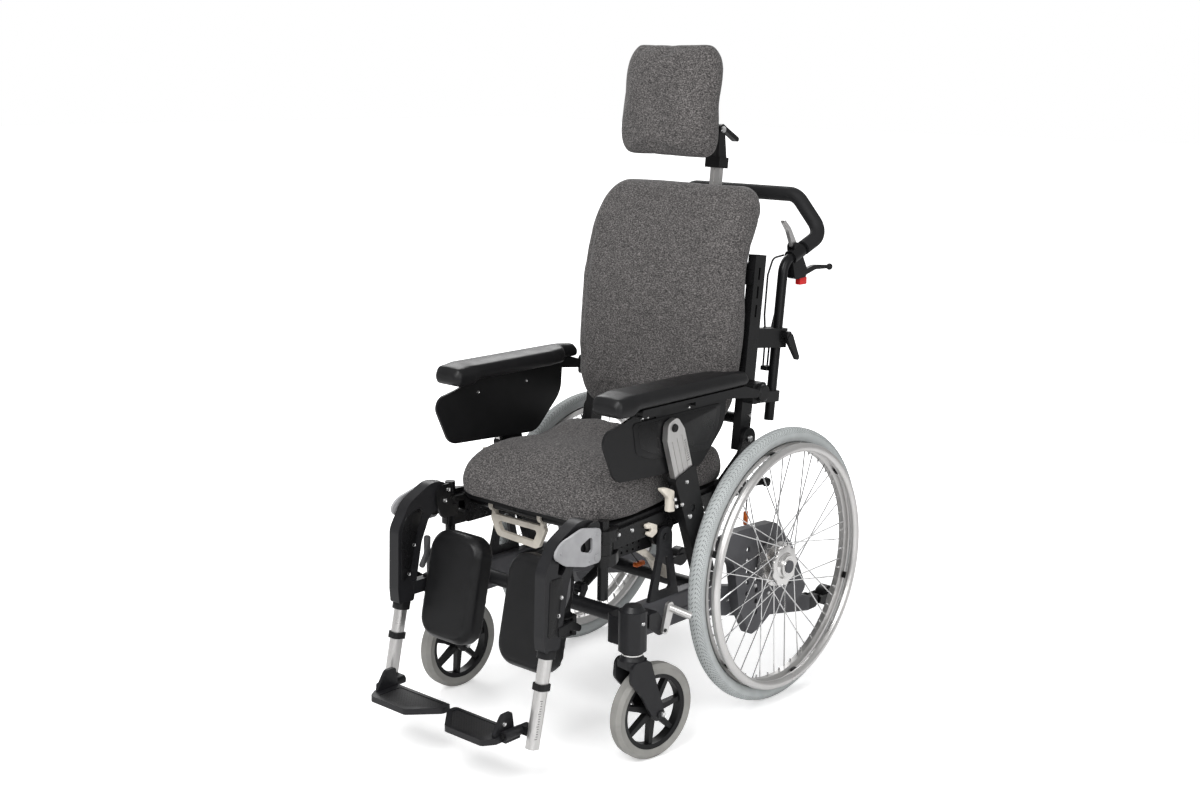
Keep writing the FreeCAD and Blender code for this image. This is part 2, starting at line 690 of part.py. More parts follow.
def anti_tip():
    """Anti-tip arm with its roller between two cheeks."""
    left = TUBE_IN_X + 5 + SIDE_GAP
    width = TUBE_OUT_X - 5 - SIDE_GAP - left
    far = ANTI_TIP_Y + ANTI_TIP_L
    arm = slab([(ANTI_TIP_Y - 10, ANTI_TIP_Z - 10, 9), (far - 30, ANTI_TIP_Z - 12, 9),
                (far - 30, ANTI_TIP_Z + 12, 9), (ANTI_TIP_Y - 10, ANTI_TIP_Z + 10, 9)],
               "YZ", left, width)
    arm = arm.cut(disc(left - 1, ANTI_TIP_Y, ANTI_TIP_Z, SPRING_PIN_R + PIN_GAP, width + 2))
    middle = (TUBE_IN_X + TUBE_OUT_X) / 2
    half = ANTI_TIP_WHEEL_W / 2
    roller = revolved([(-half, 5, 0), (half, 5, 0), (half, ANTI_TIP_WHEEL_R - 4, 0),
                       (half - 4, ANTI_TIP_WHEEL_R, 0), (4 - half, ANTI_TIP_WHEEL_R, 0),
                       (-half, ANTI_TIP_WHEEL_R - 4, 0)], middle, far, ANTI_TIP_Z)
    cheeks = []
    for x in (middle - half - SIDE_GAP - 4, middle + half + SIDE_GAP):
        cheeks.append(slab([(far - 44, ANTI_TIP_Z - 9, 8), (far + 9, ANTI_TIP_Z - 9, 8),
                            (far + 9, ANTI_TIP_Z + 9, 8), (far - 44, ANTI_TIP_Z + 9, 8)],
                           "YZ", x, 4))
    bridge = box(middle - half - 3, middle + half + 3, far - 40, far - 28,
                 ANTI_TIP_Z - 8, ANTI_TIP_Z + 8)
    pin = disc(middle - half - 4, far, ANTI_TIP_Z, 5 - PIN_GAP, 2 * half + 8)
    return grouped([joined(arm, bridge, *cheeks, pin), roller])


def brake_mount():
    """Bracket of the wheel lock: a block on the side tube, a plate outside it and the pin."""
    foot = box(TUBE_OUT_X, BRAKE_IN_X, BRAKE_Y - 42, BRAKE_Y - 14, 262, 292)
    plate = slab([(BRAKE_Y - 42, 292, 4), (BRAKE_Y - 14, 292, 8), (BRAKE_Y + 10, BRAKE_Z + 8, 10),
                  (BRAKE_Y + 10, BRAKE_Z - 10, 9), (BRAKE_Y - 10, BRAKE_Z - 10, 9),
                  (BRAKE_Y - 42, 262, 8)], "YZ", BRAKE_IN_X, 4)
    pin = disc(BRAKE_IN_X + 2, BRAKE_Y, BRAKE_Z, 4, 4 + BRAKE_T)
    return joined(foot, plate, pin)


def parking_brake():
    """Wheel lock: a pivoting arm and the silver peg that presses on the tyre."""
    at = BRAKE_IN_X + 4 + SIDE_GAP
    arm = slab([(BRAKE_Y - 9, BRAKE_Z - 9, 8), (BRAKE_Y + 9, BRAKE_Z - 9, 8),
                (BRAKE_Y + 28, BRAKE_Z + 40, 8), (BRAKE_Y + 24, BRAKE_Z + 56, 8),
                (BRAKE_Y + 8, BRAKE_Z + 56, 8)], "YZ", at, BRAKE_T)
    peg = rod(V(at + 2, BRAKE_Y + 18, BRAKE_Z + 44), V(at + 38, BRAKE_Y + 44, BRAKE_Z + 27), 8)
    return joined(arm, peg).cut(disc(at - 1, BRAKE_Y, BRAKE_Z, 4 + PIN_GAP, BRAKE_T + 20))


# Seat

def seat_frame():
    """Rails, cross tubes, tilt ears, recline ears, arm bosses and leg-rest sockets."""
    pieces = []
    rail = box(RAIL_IN_X, RAIL_OUT_X, RAIL_FRONT, RAIL_REAR, RAIL_LOW, RAIL_HIGH)
    hollow = box(RAIL_IN_X + TUBE_WALL, RAIL_OUT_X - TUBE_WALL, RAIL_FRONT - 1, RAIL_REAR + 1,
                 RAIL_LOW + TUBE_WALL, RAIL_HIGH - TUBE_WALL)
    rail = pitched(rail.cut(hollow))
    ear = slab([(TILT_Y - 40, TILT_Z + 16, 0), (TILT_Y + 40, TILT_Z + 16, 0),
                (TILT_Y + 18, TILT_Z - 18, 17), (TILT_Y - 18, TILT_Z - 18, 17)],
               "YZ", RAIL_OUT_X - 10, 10)
    pin = disc(RAIL_OUT_X - 10, TILT_Y, TILT_Z, PIVOT_R, TOWER_IN_X + TOWER_T + 2 - RAIL_OUT_X + 10)
    collar = disc(RAIL_OUT_X, TILT_Y, TILT_Z, PIVOT_R + 6, TOWER_IN_X - RAIL_OUT_X - SIDE_GAP)
    recline_ear = slab([
        (RECLINE_Y - 110, TILT_Z + 32, 10), (RECLINE_Y - 20, TILT_Z + 38, 20),
        (RECLINE_Y + EAR_R, RECLINE_Z - 20, 30), (RECLINE_Y + EAR_R, RECLINE_Z + EAR_R, EAR_R - 1),
        (RECLINE_Y - EAR_R, RECLINE_Z + EAR_R, EAR_R - 1), (RECLINE_Y - EAR_R, RECLINE_Z - 20, 40),
        (RECLINE_Y - 110, TILT_Z + 75, 10),
    ], "YZ", RAIL_OUT_X, EAR_T)
    recline_pin = disc(POST_IN_X - 2, RECLINE_Y, RECLINE_Z, PIVOT_R,
                       RAIL_OUT_X + EAR_T + 2 - POST_IN_X + 2)
    arm_foot = slab([(ARM_PIVOT_Y - 22, ARM_PIVOT_Z - 30, 6), (ARM_PIVOT_Y + 22, ARM_PIVOT_Z - 27, 6),
                     (ARM_PIVOT_Y + 16, ARM_PIVOT_Z + 14, 12), (ARM_PIVOT_Y - 16, ARM_PIVOT_Z + 14, 12)],
                    "YZ", RAIL_OUT_X, ARM_SLEEVE_IN_X - RAIL_OUT_X - SIDE_GAP)
    arm_pin = disc(RAIL_OUT_X, ARM_PIVOT_Y, ARM_PIVOT_Z, PIVOT_R,
                   ARM_SLEEVE_OUT_X - 2 - RAIL_OUT_X)
    hole_rail = box(RAIL_IN_X, RAIL_IN_X + HOLE_RAIL_T, HOLE_RAIL_FRONT_Y,
                    HOLE_RAIL_FRONT_Y + HOLE_RAIL_L, HOLE_RAIL_Z, HOLE_RAIL_Z + HOLE_RAIL_H)
    holes = []
    for row in range(2):
        for i in range(HOLES_IN_ROW):
            y = HOLE_RAIL_FRONT_Y + 20 + i * HOLE_PITCH_Y
            z = HOLE_RAIL_Z + 8 + row * HOLE_PITCH_Z
            holes.append(disc(RAIL_IN_X - 1, y, z, HOLE_R, HOLE_RAIL_T + 2))
    hole_rail = hole_rail.cut(holes)
    hanger_y = HOLE_RAIL_FRONT_Y + HOLE_RAIL_L
    strap = box(RAIL_IN_X, RAIL_IN_X + HOLE_RAIL_T, hanger_y - 10, hanger_y + 16,
                HOLE_RAIL_Z, TILT_Z + 20)
    pieces_left = [rail, ear, pin, collar, recline_ear, recline_pin, arm_foot, arm_pin,
                   hole_rail, strap]
    for low in (HOLE_RAIL_Z + 2, TILT_Z + 26):
        lug = slab([(RAIL_IN_X, SWING_Y + 20, 0), (SWING_X - LUG_R, SWING_Y - LUG_R, LUG_R - 1),
                    (SWING_X + LUG_R, SWING_Y - LUG_R, LUG_R - 1),
                    (SWING_X + LUG_R, SWING_Y + LUG_R, 10), (RAIL_OUT_X, SWING_Y + 42, 0),
                    (RAIL_IN_X, SWING_Y + 42, 0)], "XY", low, LUG_H)
        bore = rod(V(SWING_X, SWING_Y, low - 1), V(SWING_X, SWING_Y, low + LUG_H + 1),
                   SWING_R + PIN_GAP)
        step = box(RAIL_IN_X - 2, SEAT_PLATE_HALF_W + SIDE_GAP, SWING_Y - 30, SWING_Y + 50,
                   TILT_Z + 39, TILT_Z + 60)
        pieces_left.append(lug.cut([bore, step]))
    left = joined(*pieces_left)
    pieces += both(left)
    height = (RAIL_LOW + RAIL_HIGH) / 2
    for y in SEAT_TUBES:
        cross = tube(V(-RAIL_IN_X, y, height), V(RAIL_IN_X, y, height), SEAT_CROSS_R, TUBE_WALL)
        pieces.append(pitched(cross))
    y, z = RECLINE_SPRING_BASE
    mid = pieces[-2].BoundBox.Center
    ears = spring_ears(RECLINE_SPRING_X, y, z, SEAT_CROSS_R, mid.y, mid.z)
    pieces[-2] = joined(pieces[-2], *ears)
    y, z = TILT_SPRING_SEAT
    rear = pieces[-1].BoundBox.Center
    ears = spring_ears(TILT_SPRING_X, y, z, SEAT_CROSS_R, rear.y, rear.z)
    pieces[-1] = joined(pieces[-1], *ears)
    return grouped(pieces)


def seat_plate():
    low = RAIL_HIGH
    w = SEAT_PLATE_HALF_W
    plate = slab([(-w, SEAT_PLATE_FRONT + 26, 40), (-w + 46, SEAT_PLATE_FRONT, 30),
                  (w - 46, SEAT_PLATE_FRONT, 30), (w, SEAT_PLATE_FRONT + 26, 40),
                  (w, SEAT_PLATE_REAR, 16), (-w, SEAT_PLATE_REAR, 16)], "XY", low, SEAT_PLATE_T)
    return pitched(plate)


def seat_section(y, half, low, high, crown):
    """A cushion section across the seat: flat foot, bulged sides and a crowned top."""
    side = 12.0
    corner = 16.0
    points = [V(-half + side, y, low), V(half - side, y, low), V(half, y, (low + high) / 2),
              V(half - corner, y, high), V(0, y, high + crown), V(-half + corner, y, high),
              V(-half, y, (low + high) / 2)]
    edges = [Part.LineSegment(points[0], points[1]).toShape(),
             Part.Arc(points[1], points[2], points[3]).toShape(),
             Part.Arc(points[3], points[4], points[5]).toShape(),
             Part.Arc(points[5], points[6], points[0]).toShape()]
    return Part.Wire(edges)


def seat_cushion():
    """Seat cushion: a crowned top that rolls down at the front and draws in at the sides."""
    low = RAIL_HIGH + SEAT_PLATE_T + SEAT_GAP
    half = SEAT_CUSHION_HALF_W
    top = low + SEAT_CUSHION_H
    front = SEAT_CUSHION_FRONT
    rear = SEAT_CUSHION_REAR
    sections = [
        seat_section(front, half - 72, low, low + 30, 4),
        seat_section(front + 18, half - 30, low, top - 22, 8),
        seat_section(front + 60, half - 6, low, top - 6, SEAT_CROWN),
        seat_section(front + 190, half, low, top + 4, SEAT_CROWN),
        seat_section(rear - 90, half, low, top + 6, SEAT_CROWN),
        seat_section(rear - 14, half - 10, low, top - 2, SEAT_CROWN - 4),
        seat_section(rear, half - 26, low, top - 16, 6),
    ]
    return pitched(lofted(sections))


def seat_tube_axis(y):
    """Centre of a seat cross tube, for its distance along the rails."""
    pitch = math.radians(SEAT_PITCH)
    up = (RAIL_LOW + RAIL_HIGH) / 2
    return (TILT_Y + y * math.cos(pitch) - up * math.sin(pitch),
            TILT_Z + y * math.sin(pitch) + up * math.cos(pitch))


def loop_handle():
    """Off-white pull loop that hangs from the front seat tube by two rings."""
    wide = LOOP_W / 2
    pivot_y, pivot_z = seat_tube_axis(SEAT_TUBES[0])
    at = pivot_y - LOOP_T / 2
    outer = slab([(LOOP_X - wide, LOOP_Z + 2, 8), (LOOP_X - wide + 24, LOOP_Z - 44, 16),
                  (LOOP_X + wide - 24, LOOP_Z - 50, 16), (LOOP_X + wide, LOOP_Z + 2, 8)],
                 "XZ", at, LOOP_T)
    slot = slab([(LOOP_X - wide + 24, LOOP_Z - 10, 6), (LOOP_X - wide + 36, LOOP_Z - 32, 8),
                 (LOOP_X + wide - 38, LOOP_Z - 36, 8), (LOOP_X + wide - 26, LOOP_Z - 10, 6)],
                "XZ", at - 1, LOOP_T + 2)
    arms = []
    for x in (LOOP_X - wide + 8, LOOP_X + wide - 18):
        ring = disc(x, pivot_y, pivot_z, SEAT_CROSS_R + 4, 10)
        web = box(x, x + 10, at, at + LOOP_T, LOOP_Z - 6, pivot_z)
        bore = disc(x - 1, pivot_y, pivot_z, SEAT_CROSS_R + PIN_GAP, 12)
        arms.append(joined(ring, web).cut(bore))
    return joined(outer.cut(slot), *arms)


# Back

def back_frame():
    """Posts, cross bars, shell, push-bar clamps, mast receiver and the recline lever."""
    post = box(POST_IN_X, POST_OUT_X, POST_FRONT, POST_REAR, -26, POST_TOP)
    hollow = box(POST_IN_X + TUBE_WALL, POST_OUT_X - TUBE_WALL, POST_FRONT + TUBE_WALL,
                 POST_REAR - TUBE_WALL, 24, POST_TOP + 1)
    slots = [box(POST_IN_X - 1, POST_OUT_X + 1, -10, -4, z, z + 26) for z in (262, 302, 342)]
    bore = disc(POST_IN_X - 1, 0, 0, PIVOT_R + PIN_GAP, POST_OUT_X - POST_IN_X + 2)
    post = post.cut([hollow, bore] + slots)
    reach = BOW_TUBE_R + 8
    clamp_parts = []
    for low, height, size in ((CLAMP_LOW, CLAMP_H, reach), (GUIDE_LOW, GUIDE_H, reach - 3)):
        block = slab([(BOW_X - size, POST_REAR, 0), (BOW_X + 17, POST_REAR, 0),
                      (BOW_X + size, BOW_DEPTH - size, 6), (BOW_X + size, BOW_DEPTH + size, 10),
                      (BOW_X - size, BOW_DEPTH + size, 10)], "XY", low, height)
        hole = rod(V(BOW_X, BOW_DEPTH, low - 1), V(BOW_X, BOW_DEPTH, low + height + 1),
                   BOW_TUBE_R + PIN_GAP)
        waist = slab([(BOW_X - size - 1, POST_REAR + 14, 6), (BOW_X - size + 12, POST_REAR + 14, 6),
                      (BOW_X - size + 12, BOW_DEPTH - size - 6, 6),
                      (BOW_X - size - 1, BOW_DEPTH - size - 6, 6)], "XY", low - 1, height + 2)
        clamp_parts.append(block.cut([hole, waist]))
    top = CLAMP_LOW + CLAMP_H
    hub = Part.makeCylinder(9, 12, V(BOW_X + reach, BOW_DEPTH + 4, top - 14), V(1, 0, 0))
    lever = slab([(BOW_DEPTH - 4, top - 22, 7), (BOW_DEPTH + 12, top - 6, 8),
                  (BOW_DEPTH + 52, top - 66, 6), (BOW_DEPTH + 42, top - 70, 5)],
                 "YZ", BOW_X + reach + 4, 9)
    left = joined(post, *clamp_parts, hub, lever)
    pieces = both(left)
    bars = []
    for z in (40.0, 180.0):
        bars.append(tube(V(-POST_IN_X, -6, z), V(POST_IN_X, -6, z), 12, TUBE_WALL))
    mast_bar = tube(V(-POST_IN_X, 0, MAST_RECEIVER), V(POST_IN_X, 0, MAST_RECEIVER), 12, TUBE_WALL)
    receiver = box(-MAST_W / 2 - 9, MAST_W / 2 + 9, 4, MAST_DEPTH + MAST_T / 2 + 9,
                   MAST_RECEIVER - 20, MAST_RECEIVER + 20)
    receiver = receiver.cut(rod(V(-40, 0, MAST_RECEIVER), V(40, 0, MAST_RECEIVER), 10))
    slot = box(-MAST_W / 2 - PIN_GAP, MAST_W / 2 + PIN_GAP, MAST_DEPTH - MAST_T / 2 - PIN_GAP,
               MAST_DEPTH + MAST_T / 2 + PIN_GAP, MAST_RECEIVER - 21, MAST_RECEIVER + 21)
    side_window = box(-50, 50, 26, MAST_DEPTH - MAST_T / 2 - 12,
                      MAST_RECEIVER - 12, MAST_RECEIVER + 12)
    mast_bar = joined(mast_bar, receiver.cut([slot, side_window]))
    spring_y, spring_z = back_local(*RECLINE_SPRING_BACK)
    lever_plate = slab([(-8, 40, 8), (14, 40, 8), (spring_y + 11, spring_z + 2, 8),
                        (spring_y + 3, spring_z - 12, 8), (spring_y - 9, spring_z - 6, 8)],
                       "YZ", RECLINE_SPRING_X - SPRING_EYE_W / 2 - SIDE_GAP - 5, 5)
    lever_pair = [lever_plate, lever_plate.copy()]
    lever_pair[1].translate(V(SPRING_EYE_W + 2 * SIDE_GAP + 5, 0, 0))
    pin = disc(RECLINE_SPRING_X - SPRING_EYE_W / 2 - 3, spring_y, spring_z, SPRING_PIN_R,
               SPRING_EYE_W + 6)
    bars[0] = joined(bars[0], *lever_pair, pin)
    shell = slab([(-190, 70, 30), (190, 70, 30), (198, 250, 60), (186, 400, 30),
                  (-186, 400, 30), (-198, 250, 60)], "XZ", POST_FRONT - SHELL_T, SHELL_T)
    wings = [box(POST_IN_X - 12, POST_OUT_X - 3, POST_FRONT - SHELL_T, POST_FRONT, z, z + 30)
             for z in (120, 330)]
    wings += [sided(wing, -1) for wing in wings]
    shell = joined(shell, *wings)
    return grouped([leaned(piece) for piece in pieces + bars + [mast_bar, shell]])


def back_local(y, z):
    """Depth and height of a point in the leaning frame of the back."""
    lean = math.radians(BACK_LEAN)
    dy, dz = y - RECLINE_Y, z - RECLINE_Z
    return dy * math.cos(lean) - dz * math.sin(lean), dy * math.sin(lean) + dz * math.cos(lean)


def back_section(z, half, front, rear, crown):
    """A level cushion section: flat rear, rounded sides and a crowned front."""
    corner = 26.0
    middle = (front + rear) / 2 + 4
    points = [V(-half + 8, rear, z), V(half - 8, rear, z), V(half, middle, z),
              V(half - corner, front, z), V(0, front - crown, z), V(-half + corner, front, z),
              V(-half, middle, z)]
    edges = [Part.LineSegment(points[0], points[1]).toShape(),
             Part.Arc(points[1], points[2], points[3]).toShape(),
             Part.Arc(points[3], points[4], points[5]).toShape(),
             Part.Arc(points[5], points[6], points[0]).toShape()]
    return Part.Wire(edges)


def back_cushion():
    """Back cushion: crowned front, bulged sides and a top that wraps over the shell."""
    half = BACK_CUSHION_HALF_W
    top = BACK_CUSHION_TOP
    flat = POST_FRONT - SHELL_T - SEAT_GAP
    sections = [
        back_section(26, half - 52, -70, flat - 6, 4),
        back_section(48, half - 28, -84, flat, 8),
        back_section(120, half - 6, -94, flat, 12),
        back_section(250, half, -98, flat, 14),
        back_section(400, half - 4, -88, flat, 12),
        back_section(top - 66, half - 12, -70, 10, 10),
        back_section(top - 22, half - 30, -50, 24, 6),
        back_section(top, half - 66, -26, 18, 2),
    ]
    recess = box(-half - 20, half + 20, flat, 80, -60, POST_TOP + 7)
    return leaned(lofted(sections).cut(recess))


# Push bow, drawn in the leaning frame of the back

def bow_points():
    return [V(BOW_X, BOW_DEPTH, BOW_LOW), V(BOW_X, BOW_DEPTH, BOW_ELBOW),
            V(BOW_OUT_X, BOW_BACK, BOW_BACK_H), V(BOW_TOP_X, BOW_TOP_DEPTH, BOW_TOP),
            V(-BOW_TOP_X, BOW_TOP_DEPTH, BOW_TOP), V(-BOW_OUT_X, BOW_BACK, BOW_BACK_H),
            V(-BOW_X, BOW_DEPTH, BOW_ELBOW), V(-BOW_X, BOW_DEPTH, BOW_LOW)]


def along_bow(share):
    """A point on the sloping run between the elbow and the bow's outermost corner."""
    points = bow_points()
    return points[1] + (points[2] - points[1]) * share


def lever_mount():
    """Clamp on the sloping run, with the housings of the brake lever and the release blade."""
    start = along_bow(MOUNT_SHARE - 0.13)
    end = along_bow(MOUNT_SHARE + 0.13)
    ring = rod(start, end, BOW_TUBE_R + 5)
    brake_y, brake_z = BRAKE_PIVOT
    trigger_y, trigger_z = TRIGGER_PIVOT
    brake_arm = slab([(start.y - 4, start.z - 4, 5), (end.y, end.z - 8, 5),
                      (brake_y + 10, brake_z + 8, 7), (brake_y + 8, brake_z - 9, 7),
                      (brake_y - 34, brake_z - 16, 8)], "YZ", BOW_X - 10, 20)
    trigger_arm = slab([(start.y + 4, start.z + 4, 5), (trigger_y - 10, trigger_z, 8),
                        (trigger_y, trigger_z + 10, 8), (trigger_y + 12, trigger_z, 6),
                        (end.y - 6, end.z + 2, 5)], "YZ", BOW_X - 10, 20)
    solid = joined(ring, brake_arm, trigger_arm)
    brake_slot = slab([(brake_y - 13, brake_z - 30, 0), (brake_y + 30, brake_z - 30, 0),
                       (brake_y + 30, brake_z + 14, 0), (brake_y - 13, brake_z + 9, 8)],
                      "YZ", BOW_X - 5, 10)
    trigger_slot = slab([(trigger_y - 34, trigger_z - 9, 0), (trigger_y + 7, trigger_z - 9, 5),
                         (trigger_y + 18, trigger_z + 22, 0), (trigger_y - 34, trigger_z + 22, 0)],
                        "YZ", BOW_X - 5, 10)
    pins = [disc(BOW_X - 8, brake_y, brake_z, 3, 16), disc(BOW_X - 8, trigger_y, trigger_z, 3, 16)]
    bore = rod(start - (end - start), end + (end - start), BOW_TUBE_R + SEAT_GAP)
    return joined(solid.cut([brake_slot, trigger_slot]), *pins).cut(bore)


def push_bar():
    """The bow tube with its two lever mounts."""
    bow = swept(bent_path(bow_points(), BOW_BEND), BOW_TUBE_R, 2.0)
    return grouped([leaned(piece) for piece in [bow] + both(lever_mount())])


def push_bar_grip():
    """Thick foam grip round the bow, from above one lever mount to the other."""
    points = bow_points()
    path = bent_path([along_bow(MOUNT_SHARE + 0.20)] + points[2:6] +
                     [sided_point(along_bow(MOUNT_SHARE + 0.20))], BOW_BEND)
    outer = swept(path, GRIP_R)
    inner = swept(path, BOW_TUBE_R + SEAT_GAP)
    return leaned(outer.cut(inner))


def sided_point(p):
    return V(-p.x, p.y, p.z)


def brake_lever():
    """Hand-brake lever: a curved blade with a ball end, in the mount's slot."""
    y, z = BRAKE_PIVOT
    blade = slab([(y - 7, z - 6, 5), (y + 10, z - 7, 4), (y + 52, z + 8, 40), (y + 112, z + 12, 3),
                  (y + 112, z + 19, 3), (y + 46, z + 18, 40), (y + 6, z + 6, 4), (y - 6, z + 6, 5)],
                 "YZ", BOW_X - 4.5, 9)
    ball = Part.makeSphere(7.5, V(BOW_X, y + 114, z + 15))
    hole = disc(BOW_X - 6, y, z, 3 + PIN_GAP, 12)
    return leaned(joined(blade, ball).cut(hole))


def release_trigger():
    """Flat release blade in front of the grip's lower end."""
    y, z = TRIGGER_PIVOT
    blade = slab([(y - 7, z - 5, 4), (y + 5, z - 6, 4), (y + 6, z + 6, 4), (y - 22, z + 38, 30),
                  (y - 46, z + 54, 3), (y - 52, z + 50, 3), (y - 30, z + 30, 30)],
                 "YZ", BOW_X - 4.5, 9)
    hole = disc(BOW_X - 6, y, z, 3 + PIN_GAP, 12)
    return leaned(blade.cut(hole))


def brake_cables():
    """Brake and release cables, held between the lever mounts and the tube's lower clips."""
    cables = []
    inner_x = BOW_X - 22
    outer_x = BOW_X + 17
    runs = [
        [V(inner_x + 10.5, 120, 396), V(inner_x, 96, 388), V(inner_x - 2, 84, 350),
         V(inner_x - 2, 86, 262), V(inner_x, 94, 214), V(inner_x, 96, 150)],
        [V(inner_x + 10.5, 140, 344), V(inner_x + 4, 136, 318), V(inner_x + 1, 126, 286),
         V(inner_x, 116, 240), V(inner_x, 112, 190), V(inner_x, 112, 150)],
    ]
    for points in runs:
        cable = swept(bent_path(points, 16), CABLE_R)
        cables += both(cable)
    clip = box(inner_x - 4, BOW_X - BOW_TUBE_R + 2, 92, 116, 140, 150)
    clip = clip.cut(rod(V(BOW_X, BOW_DEPTH, 130), V(BOW_X, BOW_DEPTH, 160), BOW_TUBE_R + SEAT_GAP))
    cables += both(clip)
    return grouped([leaned(piece) for piece in cables])


# Headrest, drawn in the leaning frame of the back

def headrest_post():
    """Grooved mast, its top block and the two arms that rise to the headrest pivot."""
    mast = box(-MAST_W / 2, MAST_W / 2, MAST_DEPTH - MAST_T / 2, MAST_DEPTH + MAST_T / 2,
               MAST_LOW, MAST_TOP - 10)
    groove = box(-3, 3, MAST_DEPTH - MAST_T / 2 - 1, MAST_DEPTH - MAST_T / 2 + 2,
                 MAST_LOW - 1, MAST_TOP - 24)
    block = box(-MAST_W / 2 - 7, MAST_W / 2 + 7, MAST_DEPTH - 20, MAST_DEPTH + 14,
                MAST_TOP - 24, MAST_TOP)
    arms = []
    for x in (-MAST_W / 2 - 3, MAST_W / 2 - 5):
        arms.append(slab([(MAST_DEPTH - 18, MAST_TOP - 4, 0), (MAST_DEPTH + 12, MAST_TOP - 4, 0),
                          (HEAD_PIVOT_DEPTH + 11, HEAD_PIVOT - 12, 20),
                          (HEAD_PIVOT_DEPTH + 11, HEAD_PIVOT + 11, 10),
                          (HEAD_PIVOT_DEPTH - 11, HEAD_PIVOT + 11, 10),
                          (HEAD_PIVOT_DEPTH - 11, HEAD_PIVOT - 12, 20)], "YZ", x, 8))
    pin = disc(-MAST_W / 2 - 5, HEAD_PIVOT_DEPTH, HEAD_PIVOT, 5, MAST_W + 10)
    return leaned(joined(mast.cut(groove), block, *arms, pin))


def headrest_bracket():
    """Link from the pivot to the plate behind the headrest pad, with its flat lever."""
    y, z = HEAD_PIVOT_DEPTH, HEAD_PIVOT
    inner = MAST_W / 2 - 5 - SIDE_GAP
    rear = HEAD_FRONT + HEAD_T + SEAT_GAP + 3
    link = slab([(y - 9, z - 10, 8), (y + 10, z - 10, 8), (y + 10, z + 9, 8), (y - 6, z + 10, 8),
                 (rear + 4, z + 44, 8), (rear, z + 44, 0), (rear, z + 12, 0)],
                "YZ", -inner, 2 * inner)
    link = link.cut(disc(-inner - 1, y, z, 5 + PIN_GAP, 2 * inner + 2))
    plate = slab([(-55, z + 4, 10), (55, z + 4, 10), (55, z + 74, 10), (-55, z + 74, 10)],
                 "XZ", rear - 3, 4)
    lever = slab([(y - 4, z + 12, 4), (y + 12, z + 13, 6), (y + 74, z - 12, 5), (y + 78, z - 20, 5),
                  (y + 70, z - 22, 4), (y + 10, z + 4, 10)], "YZ", -inner, 2 * inner)
    return leaned(joined(link, plate, lever.cut(disc(-20, y, z, 6, 40))))


def headrest_cushion():
    """Headrest pad: crowned face, bulged sides, hollowed lower edge."""
    half = HEAD_HALF_W
    rear = HEAD_FRONT + HEAD_T
    sections = [
        head_section(HEAD_LOW, half - 20, HEAD_FRONT + 16, rear - 8, 2),
        head_section(HEAD_LOW + 14, half - 6, HEAD_FRONT + 6, rear, 5),
        head_section(HEAD_LOW + 80, half + 1, HEAD_FRONT, rear, 10),
        head_section(HEAD_LOW + 160, half + 1, HEAD_FRONT + 2, rear, 10),
        head_section(HEAD_TOP - 22, half - 8, HEAD_FRONT + 8, rear - 2, 6),
        head_section(HEAD_TOP, half - 26, HEAD_FRONT + 20, rear - 12, 2),
    ]
    behind = box(-half - 20, half + 20, rear, rear + 30, HEAD_LOW - 10, HEAD_TOP + 10)
    return leaned(lofted(sections).cut(behind))


def head_section(z, half, front, rear, crown):
    points = [V(-half + 8, rear, z), V(half - 8, rear, z), V(half, (front + rear) / 2 + 3, z),
              V(half - 20, front, z), V(0, front - crown, z), V(-half + 20, front, z),
              V(-half, (front + rear) / 2 + 3, z)]
    edges = [Part.LineSegment(points[0], points[1]).toShape(),
             Part.Arc(points[1], points[2], points[3]).toShape(),
             Part.Arc(points[3], points[4], points[5]).toShape(),
             Part.Arc(points[5], points[6], points[0]).toShape()]
    return Part.Wire(edges)


# Armrests

def strut_angle():
    """Forward lean of the arm strut from vertical, in degrees."""
    return math.degrees(math.atan2(ARM_PIVOT_Y - STRUT_TOP_Y, STRUT_TOP_Z - ARM_PIVOT_Z))


def strut_length():
    return math.hypot(ARM_PIVOT_Y - STRUT_TOP_Y, STRUT_TOP_Z - ARM_PIVOT_Z)


def on_strut(shape):
    """Moves a shape drawn upright about the sleeve's pivot onto the leaning strut line."""
    copy = shape.copy()
    copy.translate(V(0, ARM_PIVOT_Y, ARM_PIVOT_Z))
    return turned(copy, ARM_PIVOT_Y, ARM_PIVOT_Z, strut_angle())


def arm_sleeve():
    """Tapered sleeve of the arm strut, with its pocket and the height release at its front."""
    half = STRUT_W / 2 + 6
    depth = ARM_SLEEVE_OUT_X - ARM_SLEEVE_IN_X
    body = slab([(-half, SLEEVE_TOP, 8), (half, SLEEVE_TOP, 8), (half - 3, 0, 80),
                 (27, SLEEVE_FOOT, 14), (-22, SLEEVE_FOOT, 14), (-half + 6, -20, 80)],
                "YZ", ARM_SLEEVE_IN_X, depth)
    pocket = box(STRUT_X - STRUT_T / 2 - PIN_GAP, STRUT_X + STRUT_T / 2 + PIN_GAP,
                 -STRUT_W / 2 - PIN_GAP, STRUT_W / 2 + PIN_GAP, POCKET_FOOT, SLEEVE_TOP + 1)
    bore = disc(ARM_SLEEVE_IN_X - 1, 0, 0, PIVOT_R + PIN_GAP, depth + 2)
    plate = slab([(-half - 14, 64, 5), (-half + 3, 72, 0), (-half + 3, 20, 0), (-half - 14, 24, 5)],
                 "YZ", STRUT_X - 3, 6)
    return on_strut(joined(body, plate).cut([pocket, bore]))


